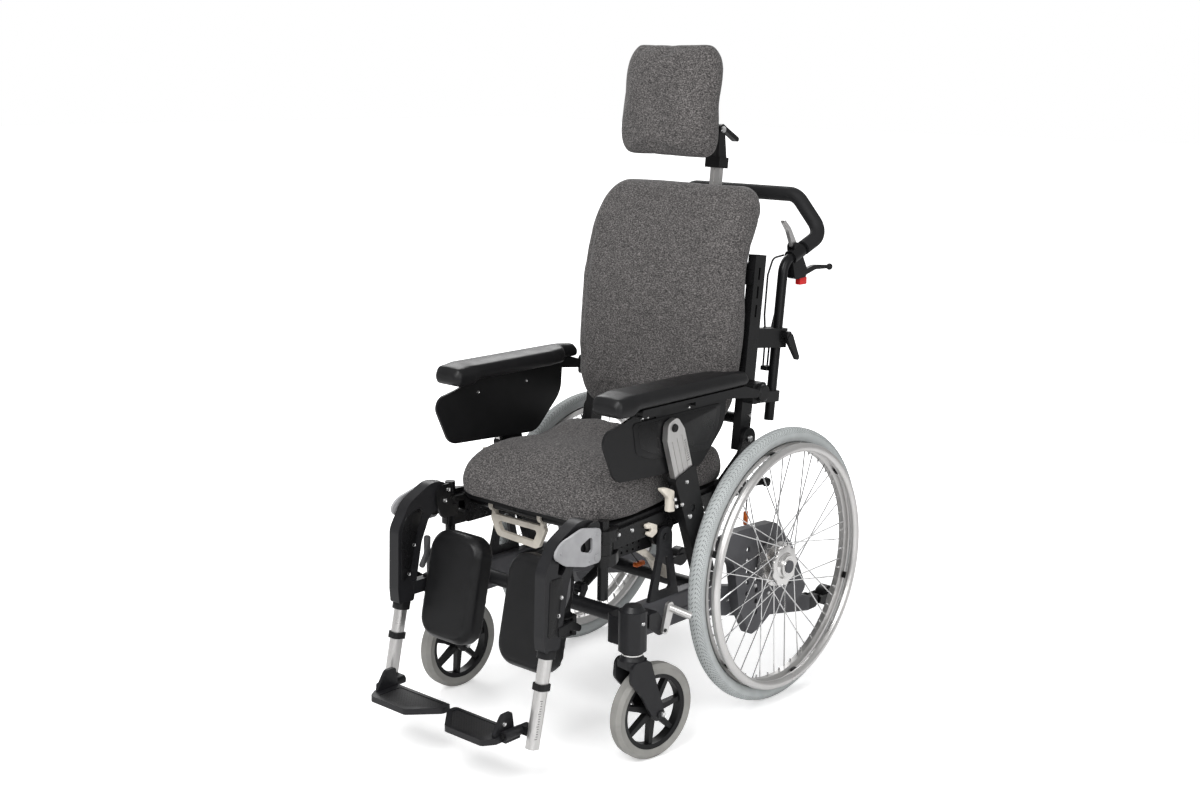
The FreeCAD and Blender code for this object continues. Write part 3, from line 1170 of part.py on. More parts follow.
def arm_strut():
    """Flat grooved strut that slides in the sleeve, with its rounded top eye."""
    half = STRUT_W / 2
    length = strut_length()
    bar = slab([(-half, STRUT_FOOT, 0), (half, STRUT_FOOT, 0), (half, length - 16, 8),
                (16, length + 17, 15), (-16, length + 17, 15), (-half, length - 16, 8)],
               "YZ", STRUT_X - STRUT_T / 2, STRUT_T)
    grooves = [box(STRUT_X + STRUT_T / 2 - 1.5, STRUT_X + STRUT_T, y - 1.5, y + 1.5,
                   STRUT_FOOT - 1, length - 24) for y in (-16.0, 0.0, 16.0)]
    bore = disc(STRUT_X - STRUT_T, 0, length, PIVOT_R - 2 + PIN_GAP, 2 * STRUT_T)
    return on_strut(bar.cut(grooves + [bore]))


def arm_frame():
    """Rail under the arm pad, side panel, strut pivot and the rear clamp with its knob."""
    rail_low = PAD_TOP_Z - PAD_T - 16
    rail_high = PAD_TOP_Z - PAD_T - SEAT_GAP
    rail = slab([(PAD_FRONT_Y + 70, rail_low, 6), (-188, rail_low, 20),
                 (-60, 684, 8), (-60, 700, 7), (PAD_REAR_Y - 20, rail_high, 12),
                 (PAD_FRONT_Y + 70, rail_high, 6)], "YZ", PANEL_IN_X, 30)
    rail_side = box(PANEL_IN_X + PANEL_T + 1, PANEL_IN_X + 35, STRUT_TOP_Y - 52, STRUT_TOP_Y + 60,
                    rail_low - 1, rail_low + 8)
    pin = disc(PANEL_IN_X + 2, STRUT_TOP_Y, STRUT_TOP_Z, PIVOT_R - 2,
               STRUT_X + STRUT_T / 2 + 3 - PANEL_IN_X - 2)
    washer = disc(PANEL_IN_X + PANEL_T - 1, STRUT_TOP_Y, STRUT_TOP_Z, 14,
                  STRUT_X - STRUT_T / 2 - SIDE_GAP - PANEL_IN_X - PANEL_T + 1)
    panel = slab([(-548, 676, 26), (-500, 574, 34), (-232, 560, 46), (-150, 640, 60),
                  (-146, rail_low + 4, 10), (PAD_FRONT_Y + 86, rail_low + 4, 10), (-480, 690, 30)],
                 "YZ", PANEL_IN_X, PANEL_T)
    recess = slab([(-430, 672, 8), (-392, 612, 8), (-372, 612, 8), (-376, 690, 8), (-420, 690, 8)],
                  "YZ", PANEL_IN_X + PANEL_T - 3, 5)
    clamp = slab([(-70, 668, 8), (-22, 668, 8), (-22, 712, 8), (-70, 712, 8)],
                 "YZ", POST_OUT_X + 2, 27)
    knob = revolved([(0, 0, 0), (0, 19, 0), (8, 19, 0), (11, 15, 0), (11, 0, 0)],
                    POST_OUT_X + 29, -40, 690)
    return joined(rail.cut(rail_side), pin, washer, panel.cut(recess), clamp, knob)


def pad_section(y, inner, outer, low, high, crown):
    points = [V(inner + 5, y, low), V(outer - 5, y, low), V(outer, y, (low + high) / 2),
              V(outer - 8, y, high), V((inner + outer) / 2, y, high + crown), V(inner + 8, y, high),
              V(inner, y, (low + high) / 2)]
    edges = [Part.LineSegment(points[0], points[1]).toShape(),
             Part.Arc(points[1], points[2], points[3]).toShape(),
             Part.Arc(points[3], points[4], points[5]).toShape(),
             Part.Arc(points[5], points[6], points[0]).toShape()]
    return Part.Wire(edges)


def arm_pad():
    """Arm pad: deep rounded nose, crowned top, inner edge that draws in before the back."""
    low = PAD_TOP_Z - PAD_T
    nose = low - PAD_NOSE
    top = PAD_TOP_Z - 4
    sections = [
        pad_section(PAD_FRONT_Y, PAD_IN_X + 12, PAD_OUT_X - 12, nose + 8, nose + 26, 1),
        pad_section(PAD_FRONT_Y + 9, PAD_IN_X + 3, PAD_OUT_X - 3, nose, top - 4, 2),
        pad_section(PAD_FRONT_Y + 48, PAD_IN_X, PAD_OUT_X, nose, top, 4),
        pad_section(PAD_FRONT_Y + 62, PAD_IN_X, PAD_OUT_X, low, top, 4),
        pad_section(-230, PAD_IN_X + 2, PAD_OUT_X, low, top, 4),
        pad_section(-176, PAD_IN_X + 14, PAD_OUT_X, low, top, 4),
        pad_section(-148, PAD_TAIL_IN_X, PAD_OUT_X, low, top - 1, 3),
        pad_section(PAD_REAR_Y - 12, PAD_TAIL_IN_X, PAD_OUT_X - 2, low, top - 4, 2),
        pad_section(PAD_REAR_Y, PAD_TAIL_IN_X + 4, PAD_OUT_X - 8, low, low + 16, 1),
    ]
    return Part.makeLoft(sections, True, True)


# Leg rests, drawn for the user's left

def on_leg(shape):
    """Moves a shape drawn upright about the leg's reference point onto the leaning leg."""
    copy = shape.copy()
    copy.translate(V(KNEE_X, LEG_Y, LEG_Z))
    return turned(copy, LEG_Y, LEG_Z, -LEG_LEAN)


def legrest_post():
    """Swing post with its collar and the fork that carries the knee pivot."""
    post = rod(V(SWING_X, SWING_Y, SWING_LOW_Z), V(SWING_X, SWING_Y, SWING_TOP_Z), SWING_R)
    low = HOLE_RAIL_Z + 2 + LUG_H + SIDE_GAP
    high = TILT_Z + 26 - SIDE_GAP
    collar = Part.makeCylinder(LUG_R, high - low, V(SWING_X, SWING_Y, low))
    inner = KNEE_X - HANGER_W / 2 - SIDE_GAP - CHEEK_T
    outer = KNEE_X + HANGER_W / 2 + SIDE_GAP + CHEEK_T
    fork = slab([(SWING_Y - 6, low, 0), (KNEE_Y - 8, low, 16), (KNEE_Y - 24, KNEE_Z - 8, 20),
                 (KNEE_Y - 18, KNEE_Z + 24, 20), (KNEE_Y + 22, KNEE_Z + 24, 10),
                 (KNEE_Y + 22, high, 6), (SWING_Y - 6, high, 0)], "YZ", inner, outer - inner)
    slot = box(inner + CHEEK_T, outer - CHEEK_T, KNEE_Y - 60, KNEE_Y + 26, low - 1, KNEE_Z + 60)
    pin = disc(inner + 1, KNEE_Y, KNEE_Z, PIVOT_R, outer - inner - 2)
    clear = Part.makeCylinder(LUG_R + SIDE_GAP, LUG_H + 2 * SIDE_GAP,
                              V(SWING_X, SWING_Y, TILT_Z + 26 - SIDE_GAP))
    return joined(post, collar, fork.cut([slot, clear]), pin)


def legrest_hanger():
    """Curved quadrant arm, its sleeve for the leg tube and the lug of the calf pad."""
    left = KNEE_X - HANGER_W / 2
    arm = slab([
        (KNEE_Y + 15, KNEE_Z + 26, 22), (KNEE_Y - 30, KNEE_Z + 34, 50), (-650, KNEE_Z, 50),
        (-681, 430, 40), (-684, 300, 30), (-681, LEG_Z - 14, 6), (-641, LEG_Z - 14, 6),
        (-617, 392, 40), (-592, 448, 34), (KNEE_Y + 15, KNEE_Z - 24, 18),
    ], "YZ", left, HANGER_W)
    window = slab([(-640, 462, 10), (-604, 468, 10), (-628, 424, 10), (-652, 400, 8)],
                  "YZ", left - 1, HANGER_W + 2)
    half_w = LEG_TUBE_W / 2 + PIN_GAP
    half_d = LEG_TUBE_D / 2 + PIN_GAP
    bore = on_leg(slab([(-half_w, -half_d, 9), (half_w, -half_d, 9), (half_w, half_d, 9),
                        (-half_w, half_d, 9)], "XY", SLEEVE_LOW - 10, 132 - SLEEVE_LOW))
    knee = disc(left - 1, KNEE_Y, KNEE_Z, PIVOT_R + PIN_GAP, HANGER_W + 2)
    lug_in, lug_out = CALF_PIN_X - CALF_LUG_R, CALF_PIN_X + CALF_LUG_R
    lug_end, lug_round = CALF_PIN_Y + CALF_LUG_R, CALF_LUG_R - 0.1
    lug = slab([(lug_in, -644, 0), (lug_out, -644, 0), (lug_out, lug_end, lug_round),
                (lug_in, lug_end, lug_round)], "XY", CALF_PIN_Z - 14, 28)
    pin_hole = rod(V(CALF_PIN_X, CALF_PIN_Y, CALF_PIN_Z - 20),
                   V(CALF_PIN_X, CALF_PIN_Y, CALF_PIN_Z + 20), SPRING_PIN_R + PIN_GAP)
    return joined(arm, lug).cut([window, bore, knee, pin_hole])


def leg_tube():
    """Oval leg tube with its clamp ring, end cap and the footplate's hinge pin."""
    half_w = LEG_TUBE_W / 2
    half_d = LEG_TUBE_D / 2
    section = [(-half_w, -half_d, 9), (half_w, -half_d, 9), (half_w, half_d, 9),
               (-half_w, half_d, 9)]
    body = slab(section, "XY", LEG_TUBE_LOW, LEG_TUBE_TOP - LEG_TUBE_LOW)
    wall = TUBE_WALL
    inner = [(-half_w + wall, -half_d + wall, 6), (half_w - wall, -half_d + wall, 6),
             (half_w - wall, half_d - wall, 6), (-half_w + wall, half_d - wall, 6)]
    body = body.cut(slab(inner, "XY", LEG_TUBE_LOW + 30, LEG_TUBE_TOP - LEG_TUBE_LOW))
    ring = slab([(a * 1.3, b * 1.2, 9) for a, b, _ in section], "XY", LEG_RING, 13)
    leg = on_leg(joined(body, ring))
    lug_y = FOOT_REAR_Y + 6
    lug = slab([(FOOT_PIN_X - 9, FOOT_PIN_Z - 9, 8), (KNEE_X, FOOT_PIN_Z - 9, 0),
                (KNEE_X, FOOT_PIN_Z + 9, 0), (FOOT_PIN_X - 9, FOOT_PIN_Z + 9, 8)],
               "XZ", lug_y, 20)
    pin = rod(V(FOOT_PIN_X, lug_y + 10, FOOT_PIN_Z), V(FOOT_PIN_X, FOOT_REAR_Y - 44, FOOT_PIN_Z),
              SPRING_PIN_R)
    return joined(leg, lug, pin)


def footplate():
    """Footplate with a chamfered inner corner, a heel wall and its hinge knuckle."""
    low = FOOT_PIN_Z - FOOT_T
    plate = slab([(FOOT_INNER_X, FOOT_REAR_Y, 8), (FOOT_INNER_X, FOOT_REAR_Y - 24, 12),
                  (FOOT_INNER_X + 52, FOOT_FRONT_Y, 14), (FOOT_OUTER_X - 16, FOOT_FRONT_Y, 12),
                  (FOOT_OUTER_X, FOOT_FRONT_Y + 24, 10), (FOOT_OUTER_X, FOOT_REAR_Y, 4)],
                 "XY", low, FOOT_T - SIDE_GAP)
    tread = slab([(FOOT_INNER_X + 12, FOOT_REAR_Y - 8, 5), (FOOT_INNER_X + 12, FOOT_REAR_Y - 22, 5),
                  (FOOT_INNER_X + 58, FOOT_FRONT_Y + 10, 8), (FOOT_OUTER_X - 26, FOOT_FRONT_Y + 10, 8),
                  (FOOT_OUTER_X - 26, FOOT_REAR_Y - 8, 5)], "XY", FOOT_PIN_Z - SIDE_GAP - 1.5, 3)
    wall = slab([(FOOT_REAR_Y, low, 0), (FOOT_REAR_Y - 8, low + 52, 6),
                 (FOOT_REAR_Y - 34, low + 52, 12), (FOOT_FRONT_Y + 24, low + 18, 6),
                 (FOOT_FRONT_Y + 24, low, 0)],
                "YZ", FOOT_PIN_X - 16, 8)
    knuckle = rod(V(FOOT_PIN_X, FOOT_REAR_Y - 40, FOOT_PIN_Z),
                  V(FOOT_PIN_X, FOOT_REAR_Y + 5, FOOT_PIN_Z), 10)
    web = box(FOOT_PIN_X - 14, FOOT_PIN_X + 6, FOOT_REAR_Y - 40, FOOT_REAR_Y, low, FOOT_PIN_Z)
    hole = rod(V(FOOT_PIN_X, FOOT_REAR_Y - 60, FOOT_PIN_Z), V(FOOT_PIN_X, FOOT_REAR_Y + 20, FOOT_PIN_Z),
               SPRING_PIN_R + PIN_GAP)
    return joined(plate.cut(tread), wall, knuckle, web).cut(hole)


def calf_pad():
    """Calf pad with a crowned face, on a bracket that turns about an upright pin."""
    half = CALF_W / 2
    high = CALF_H / 2
    rim = [(-half, -high, 42), (half, -high, 42), (half, high, 42), (-half, high, 42)]
    inset = [(a * 0.86, b * 0.9, 34) for a, b, _ in rim]
    back = CALF_T / 2
    pad = slab(rim, "XZ", -back + 14, CALF_T - 14)
    face = lofted([outline(rim, "XZ", -back + 14), outline(inset, "XZ", -back)])
    pad = joined(pad, face)
    pad.translate(V(CALF_X, CALF_Y, CALF_Z))
    pad = turned(pad, CALF_Y, CALF_Z, -LEG_LEAN)
    ears = []
    for z in (CALF_PIN_Z - 14 - SIDE_GAP - 7, CALF_PIN_Z + 14 + SIDE_GAP):
        ears.append(slab([(CALF_PIN_X - 9, CALF_PIN_Y - 9, 8), (CALF_PIN_X + 9, CALF_PIN_Y - 9, 8),
                          (CALF_PIN_X + 9, CALF_PIN_Y + 24, 3), (CALF_PIN_X - 9, CALF_PIN_Y + 24, 0)],
                         "XY", z, 7))
    plate = box(CALF_X - 20, CALF_PIN_X + 9, CALF_PIN_Y + 18, CALF_PIN_Y + 25,
                CALF_PIN_Z - 22, CALF_PIN_Z + 22)
    standoff = box(CALF_X - 20, CALF_X + 26, CALF_Y + 6, CALF_PIN_Y + 20, CALF_PIN_Z - 18,
                   CALF_PIN_Z + 18)
    pin = rod(V(CALF_PIN_X, CALF_PIN_Y, CALF_PIN_Z - 20), V(CALF_PIN_X, CALF_PIN_Y, CALF_PIN_Z + 20),
              SPRING_PIN_R)
    return joined(pad, *ears, plate, standoff, pin)


def legrest_handle():
    """Silver D-shaped release handle with a three-cornered finger hole."""
    at = HANDLE_X + SIDE_GAP
    plate = slab([(-538, 492, 10), (-590, 502, 40), (-650, 486, 40), (-674, 462, 14),
                  (-640, 438, 30), (-584, 424, 20), (-538, 424, 10)], "YZ", at, HANDLE_T)
    hole = slab([(-562, 484, 8), (-612, 462, 8), (-562, 446, 8)], "YZ", at - 1, HANDLE_T + 2)
    hub = disc(HANDLE_X + SIDE_GAP, HANDLE_PIN_Y + 12, HANDLE_PIN_Z - 14, 7, HANDLE_T + 2)
    return joined(plate, hub).cut(hole)


# Gas springs

def spring_end(x, y, z, bore):
    eye = disc(x - SPRING_EYE_W / 2, y, z, SPRING_EYE_R, SPRING_EYE_W)
    return eye, disc(x - SPRING_EYE_W, y, z, bore, 2 * SPRING_EYE_W)


def gas_spring(x, base, far, cylinder_share):
    """Cylinder with its fixed eye, and the rod with the eye that is left loose."""
    start = V(x, base[0], base[1])
    end = V(x, far[0], far[1])
    along = (end - start).normalize()
    length = (end - start).Length
    eye, bore = spring_end(x, base[0], base[1], SPRING_PIN_R + PIN_GAP)
    mouth = start + along * (length * cylinder_share)
    neck = rod(start, start + along * 20, SPRING_ROD_R + 2)
    body = joined(rod(start + along * 17, mouth, SPRING_R), neck, eye).cut(bore)
    channel = rod(start + along * 30, mouth + along, SPRING_ROD_R + PIN_GAP)
    cylinder = body.cut(channel)
    eye, bore = spring_end(x, far[0], far[1], SPRING_PIN_R + LOOSE_EYE)
    shaft = rod(start + along * (length * cylinder_share - 34), end - along * 8, SPRING_ROD_R)
    return cylinder, joined(shaft, eye).cut(bore)


def build():
    """All nodes of the chair, with Y = 0 on the rear axle."""
    nodes = {"base_frame": grouped([base_frame()] + both(anti_tip_fork()) + both(brake_mount())),
             "axle_plates": axle_plates(),
             "seat_frame": seat_frame(),
             "seat_plate": seat_plate(),
             "seat_cushion": seat_cushion(),
             "loop_handle": loop_handle(),
             "back_frame": back_frame(),
             "back_cushion": back_cushion(),
             "push_bar": push_bar(),
             "push_bar_grip": push_bar_grip(),
             "brake_cables": brake_cables(),
             "headrest_post": headrest_post(),
             "headrest_bracket": headrest_bracket(),
             "headrest_cushion": headrest_cushion()}
    nodes["tilt_cylinder"], nodes["tilt_rod"] = gas_spring(
        TILT_SPRING_X, TILT_SPRING_BASE, TILT_SPRING_SEAT, 0.62)
    nodes["recline_cylinder"], nodes["recline_rod"] = gas_spring(
        RECLINE_SPRING_X, RECLINE_SPRING_BASE, RECLINE_SPRING_BACK, 0.62)
    casters = {"caster_fork": caster_fork(), "caster_wheel": caster_wheel(),
               "caster_tyre": caster_tyre()}
    paired = {"rear_tyre": rear_tyre(), "rear_wheel": rear_wheel(), "rear_spokes": spokes(),
              "pushrim": pushrim(), "anti_tip": anti_tip(), "parking_brake": parking_brake(),
              "brake_lever": brake_lever(), "release_trigger": release_trigger(),
              "arm_sleeve": arm_sleeve(), "arm_strut": arm_strut(), "arm_frame": arm_frame(),
              "arm_pad": arm_pad(), "legrest_post": legrest_post(),
              "legrest_hanger": legrest_hanger(), "legrest_handle": legrest_handle(),
              "leg_tube": leg_tube(), "footplate": footplate(), "calf_pad": calf_pad()}
    for letter, side in (("L", 1), ("R", -1)):
        for name, shape in casters.items():
            nodes[name + "_" + letter] = placed_caster(shape, side)
        for name, shape in paired.items():
            nodes[name + "_" + letter] = sided(shape, side)
    return nodes


def main():
    nodes = build()
    whole = Part.makeCompound(list(nodes.values()))
    bounds = whole.BoundBox
    centre_y = (bounds.YMin + bounds.YMax) / 2
    os.makedirs("parts", exist_ok=True)
    for name, shape in nodes.items():
        shape.translate(V(0, -centre_y, -bounds.ZMin))
        shape.exportStep("parts/" + name + ".step")
        solids = len(shape.Solids)
        print(name, "solids", solids, "valid", shape.isValid(), "volume", round(shape.Volume))
    print("rear axle at Y", round(-centre_y, 3), "floor shift", round(-bounds.ZMin, 3))
    print("size", round(bounds.XLength, 1), round(bounds.YLength, 1), round(bounds.ZLength, 1))
    return -centre_y


AXLE_Y = main()
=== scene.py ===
import json
import math
from contextlib import contextmanager

import bmesh
import bpy
from bpy.props import FloatProperty, FloatVectorProperty, IntProperty, PointerProperty
from mathutils import Matrix, Vector, noise
from mathutils.bvhtree import BVHTree


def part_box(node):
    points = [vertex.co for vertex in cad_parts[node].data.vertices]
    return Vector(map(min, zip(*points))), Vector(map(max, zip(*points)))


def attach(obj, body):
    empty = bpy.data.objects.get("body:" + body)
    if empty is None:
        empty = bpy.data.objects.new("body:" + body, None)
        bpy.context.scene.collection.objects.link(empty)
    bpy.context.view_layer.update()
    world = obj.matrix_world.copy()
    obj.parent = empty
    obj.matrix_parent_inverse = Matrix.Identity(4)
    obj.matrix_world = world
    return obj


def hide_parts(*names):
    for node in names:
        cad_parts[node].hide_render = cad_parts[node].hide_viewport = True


bl_info = {
    "name": "Tilt-in-space wheelchair looks",
    "version": (1, 0),
    "blender": (4, 5, 0),
    "location": "View3D > Sidebar > Wheelchair",
    "description": "Cushions, wheels, fittings and finishes of a tilt-in-space wheelchair",
    "category": "Object",
}

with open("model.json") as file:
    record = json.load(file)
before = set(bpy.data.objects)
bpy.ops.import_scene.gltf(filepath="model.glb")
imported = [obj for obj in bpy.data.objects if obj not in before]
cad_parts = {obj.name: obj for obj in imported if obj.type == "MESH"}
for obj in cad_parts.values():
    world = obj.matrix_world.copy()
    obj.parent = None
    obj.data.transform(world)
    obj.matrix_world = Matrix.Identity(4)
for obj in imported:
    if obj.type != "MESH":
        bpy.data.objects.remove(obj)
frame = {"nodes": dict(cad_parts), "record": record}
NODES = frame["nodes"]
BODIES = frame["record"]["behaviour"]["bodies"]
BODY_OF = {node: body for body, names in BODIES.items() for node in names}
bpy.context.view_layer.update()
SIDES = {"L": 1, "R": -1}
OUTWARD = (1, 0, 0)

# Rear axle in the chair's frame, in metres
AXLE = Vector((0.0, (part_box("rear_tyre_L")[0].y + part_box("rear_tyre_L")[1].y) / 2, 0.305))

# Rear wheels, in metres: tyre profile as (offset, radius), pushrim, its clips and the nipples
WHEEL_X = 0.2815
TYRE_HALF = ((0.008, 0.2736), (0.0135, 0.2775), (0.0165, 0.285), (0.0173, 0.292),
             (0.0155, 0.2985), (0.0115, 0.3025), (0.006, 0.3045))
TREAD_RADIUS = 0.2935
PUSHRIM_X, PUSHRIM_RADIUS, PUSHRIM_TUBE = 0.3127, 0.2647, 0.0097
CLIP_SIZE, CLIP_X, CLIP_RADIUS = (0.0125, 0.015, 0.009), 0.3003, 0.264
HUB_RADIUS, NIPPLE_RADIUS = 0.075, 0.2572
RING_STEPS, RING_ANGLE = 120, 60

# Feet of the armrest strut and the leg tube as (y, z) in millimetres, and their leans
STRUT_FOOT, STRUT_LEAN = (-282, 486), math.radians(-18.73)
LEG_FOOT, LEG_LEAN = (-659, 283), math.radians(12)

# Lines that look for a surface start this far from the middle, in millimetres
OUTSIDE_X, INSIDE_X = 600, 4

# Soft pieces: cell of the moulded pads, frames of the inflation, settings of its cloth,
# and the share of the cover's inward pull that its corners keep
PAD_CELL = 0.004
INFLATE_FRAMES = 20
CLOTH = {
    "quality": 5, "mass": 0.3, "tension_stiffness": 12, "compression_stiffness": 12,
    "shear_stiffness": 6, "bending_stiffness": 0.6, "use_pressure": True,
    "uniform_pressure_force": 4.0, "vertex_group_mass": "held",
}
CORNER_PULL = 0.25


def at(x, y, z):
    """A point measured from the rear axle's place on the floor, in millimetres."""
    return Vector((x / 1000, AXLE.y + y / 1000, z / 1000))


BACK_PIVOT = at(0, -50, 588)
BACK_LEAN = math.radians(6)
TILT_PIVOT = at(0, -335, 430)
SEAT_PITCH = math.radians(3.5)


def on_back(x, depth, height):
    """A point of the leaning back, in millimetres behind and above the recline pivot."""
    c, s = math.cos(BACK_LEAN), math.sin(BACK_LEAN)
    return BACK_PIVOT + Vector((x, depth * c + height * s, -depth * s + height * c)) / 1000


def on_seat(x, back, height):
    """A point of the pitched seat, in millimetres behind and above the tilt pivot."""
    c, s = math.cos(SEAT_PITCH), math.sin(SEAT_PITCH)
    return TILT_PIVOT + Vector((x, back * c - height * s, back * s + height * c)) / 1000


def tint(name, description, default):
    return FloatVectorProperty(name=name, description=description, subtype="COLOR", size=3,
                               default=default)


def turning(name, description, degrees):
    return FloatProperty(name=name, description=description, subtype="ANGLE",
                         default=math.radians(degrees))


class ChairColours(bpy.types.PropertyGroup):
    fabric_dark: tint("Dark thread", "Darker yarn of the cushion covers", (0.020, 0.018, 0.018))
    fabric_light: tint("Light thread", "Lighter yarn of the cushion covers", (0.20, 0.187, 0.183))
    tyre: tint("Rear tyre", "Grey rubber of the rear tyres", (0.46, 0.485, 0.485))
    caster_tyre: tint("Caster tyre", "Grey rubber of the caster tyres", (0.27, 0.265, 0.25))
    frame_grey: tint("Frame lacquer", "Dark grey lacquer and castings", (0.085, 0.085, 0.092))
    alloy: tint("Alloy", "Anodised aluminium", (0.66, 0.65, 0.64))
    black: tint("Black parts", "Black moulded and lacquered parts", (0.0065, 0.0065, 0.007))
    handle_grey: tint("Handle grey", "Silver-grey leg-rest handles", (0.34, 0.34, 0.35))
    off_white: tint("Off-white", "Pull loop and release hooks", (0.70, 0.65, 0.57))
    orange: tint("Orange", "Small release pulls", (0.80, 0.16, 0.02))
    red: tint("Red", "Lock tab of the hand brake", (0.62, 0.02, 0.02))


class ChairSizes(bpy.types.PropertyGroup):
    voxel: FloatProperty(
        name="Cushion mesh", description="Cell of the mesh that the cushions are inflated on",
        unit="LENGTH", default=0.006)
    thread: FloatProperty(
        name="Thread", description="Grain of the woven covers", unit="LENGTH", default=0.0026)
    tread_blocks: IntProperty(
        name="Tread blocks", description="Rubber blocks round each rear tyre", default=190)


class ChairView(bpy.types.PropertyGroup):
    azimuth: turning("Azimuth", "Camera's turn round the chair", 41.12)
    elevation: turning("Elevation", "Camera's height angle", 11.88)
    roll: turning("Roll", "Camera's turn about its own axis", 0.74)
    lens: FloatProperty(
        name="Lens", description="Focal length on a 36 mm sensor, in millimetres", default=47.08)
    eye: FloatVectorProperty(
        name="Eye", description="Camera's place, from the rear axle's place on the floor",
        subtype="TRANSLATION", unit="LENGTH", size=3, default=(2.15785, -2.74951, 1.36296))


def colours():
    return bpy.context.scene.chair_colours


def sizes():
    return bpy.context.scene.chair_sizes


# Finishes

def start_finish(name):
    """A new material's node tree, its shader and the object's own coordinates."""
    old = bpy.data.materials.get(name)
    if old is not None:
        bpy.data.materials.remove(old)
    material = bpy.data.materials.new(name)
    material.use_nodes = True
    tree = material.node_tree
    place = tree.nodes.new("ShaderNodeTexCoord").outputs["Object"]
    return tree, tree.nodes["Principled BSDF"], place


def feed(tree, node, **values):
    """Sets or links a node's inputs by name, with an underscore for a space."""
    for name, value in values.items():
        socket = node.inputs[name.replace("_", " ")]
        if isinstance(value, bpy.types.NodeSocket):
            tree.links.new(value, socket)
        else:
            socket.default_value = value


def added(tree, kind, **values):
    """A new node with its inputs set or linked."""
    node = tree.nodes.new("ShaderNode" + kind)
    feed(tree, node, **values)
    return node


def grain(tree, place, size, detail=3.0, stretch=None):
    """Noise whose cells are about size metres wide."""
    if stretch is not None:
        place = added(tree, "Mapping", Scale=stretch, Vector=place).outputs["Vector"]
    cells = added(tree, "TexNoise", Scale=1 / size, Detail=detail, Vector=place)
    return cells.outputs["Fac"]


def ramp(tree, value, stops):
    """Colours along a value, as (place, colour) stops."""
    node = added(tree, "ValToRGB", Fac=value)
    points = node.color_ramp.elements
    while len(points) < len(stops):
        points.new(0.5)
    for point, (place, colour) in zip(points, stops):
        point.position = place
        point.color = (*colour, 1)
    return node.outputs["Color"]


def clouded(tree, value, colour, low, high, top=0.7):
    """A colour that goes from low to high times its level along a noise value."""
    return ramp(tree, value, [(0.3, shade(colour, low)), (top, shade(colour, high))])


def spread(tree, value, low, high):
    """Maps the middle of a noise value to a range."""
    node = added(tree, "MapRange", From_Min=0.3, From_Max=0.7, To_Min=low, To_Max=high,
                 Value=value)
    return node.outputs["Result"]


def blended(tree, share, first, second, blend="MIX"):
    """Two colours mixed by a share."""
    node = tree.nodes.new("ShaderNodeMix")
    node.data_type = "RGBA"
    node.blend_type = blend
    feed(tree, node, Factor=share, A=first, B=second)
    return node.outputs["Result"]


def calc(tree, operation, a, b=None):
    """The result of a mathematical node on sockets or numbers."""
    node = tree.nodes.new("ShaderNodeMath")
    node.operation = operation
    for socket, value in zip(node.inputs, (a, b)):
        if isinstance(value, bpy.types.NodeSocket):
            tree.links.new(value, socket)
        elif value is not None:
            socket.default_value = value
    return node.outputs[0]


def raise_grain(tree, shader, value, depth, strength=1.0):
    """Relief of a value, depth metres high, on top of what the shader already has."""
    bump = added(tree, "Bump", Distance=depth, Strength=strength, Height=value)
    if shader.inputs["Normal"].is_linked:
        tree.links.new(shader.inputs["Normal"].links[0].from_socket, bump.inputs["Normal"])
    tree.links.new(bump.outputs["Normal"], shader.inputs["Normal"])


def shade(colour, factor):
    return tuple(min(1.0, c * factor) for c in colour)


def melange_cloth():
    """Woven cover of mixed dark and light yarn, with short slubs and a soft nap."""
    tree, shader, place = start_finish("melange_cloth")
    dark, light = colours().fabric_dark, colours().fabric_light
    thread = sizes().thread
    yarn = grain(tree, place, thread, 4.0)
    slub = grain(tree, place, thread * 1.6, 2.0, stretch=(1.0, 1.0, 2.2))
    weave = calc(tree, "MULTIPLY", calc(tree, "ADD", yarn, slub), 0.5)
    middle = tuple((a + b) / 2 for a, b in zip(dark, light))
    speckle = ramp(tree, weave, [
        (0.40, dark), (0.49, shade(middle, 0.62)), (0.54, shade(middle, 0.95)), (0.63, light)])
    wear_and_sipe_shade = clouded(tree, grain(tree, place, 0.05, 2.0), (1, 1, 1), 0.86, 1)
    feed(tree, shader, Base_Color=blended(tree, 1.0, speckle, wear_and_sipe_shade, "MULTIPLY"),
         Roughness=0.95, Sheen_Weight=0.12, Sheen_Roughness=0.5)
    raise_grain(tree, shader, weave, 0.0008, 0.7)


def moulded(name, colour, rough=0.5, cell=0.0012, depth=0.00006, metal=0.0, shine=0.38):
    """Moulded, cast or lacquered surface with a fine grain and slight unevenness."""
    tree, shader, place = start_finish(name)
    fine = grain(tree, place, cell, 2.0)
    wide = grain(tree, place, 0.035, 3.0)
    feed(tree, shader, Base_Color=clouded(tree, wide, colour, 0.88, 1.12),
         Roughness=spread(tree, wide, max(0.05, rough - 0.06), min(1.0, rough + 0.06)),
         Metallic=metal, Specular_IOR_Level=shine)
    raise_grain(tree, shader, fine, depth, 0.8)


def brushed(name, colour, rough=0.32, along="Z"):
    """Anodised metal with fine lines drawn along one axis."""
    tree, shader, place = start_finish(name)
    stretch = {"X": (0.02, 1, 1), "Z": (1, 1, 0.02)}[along]
    lines = grain(tree, place, 0.0011, 3.0, stretch=stretch)
    wide = grain(tree, place, 0.05, 2.0)
    feed(tree, shader, Base_Color=clouded(tree, lines, colour, 0.93, 1.06),
         Roughness=spread(tree, wide, rough - 0.05, rough + 0.07), Metallic=0.9)
    raise_grain(tree, shader, lines, 0.00003, 0.6)


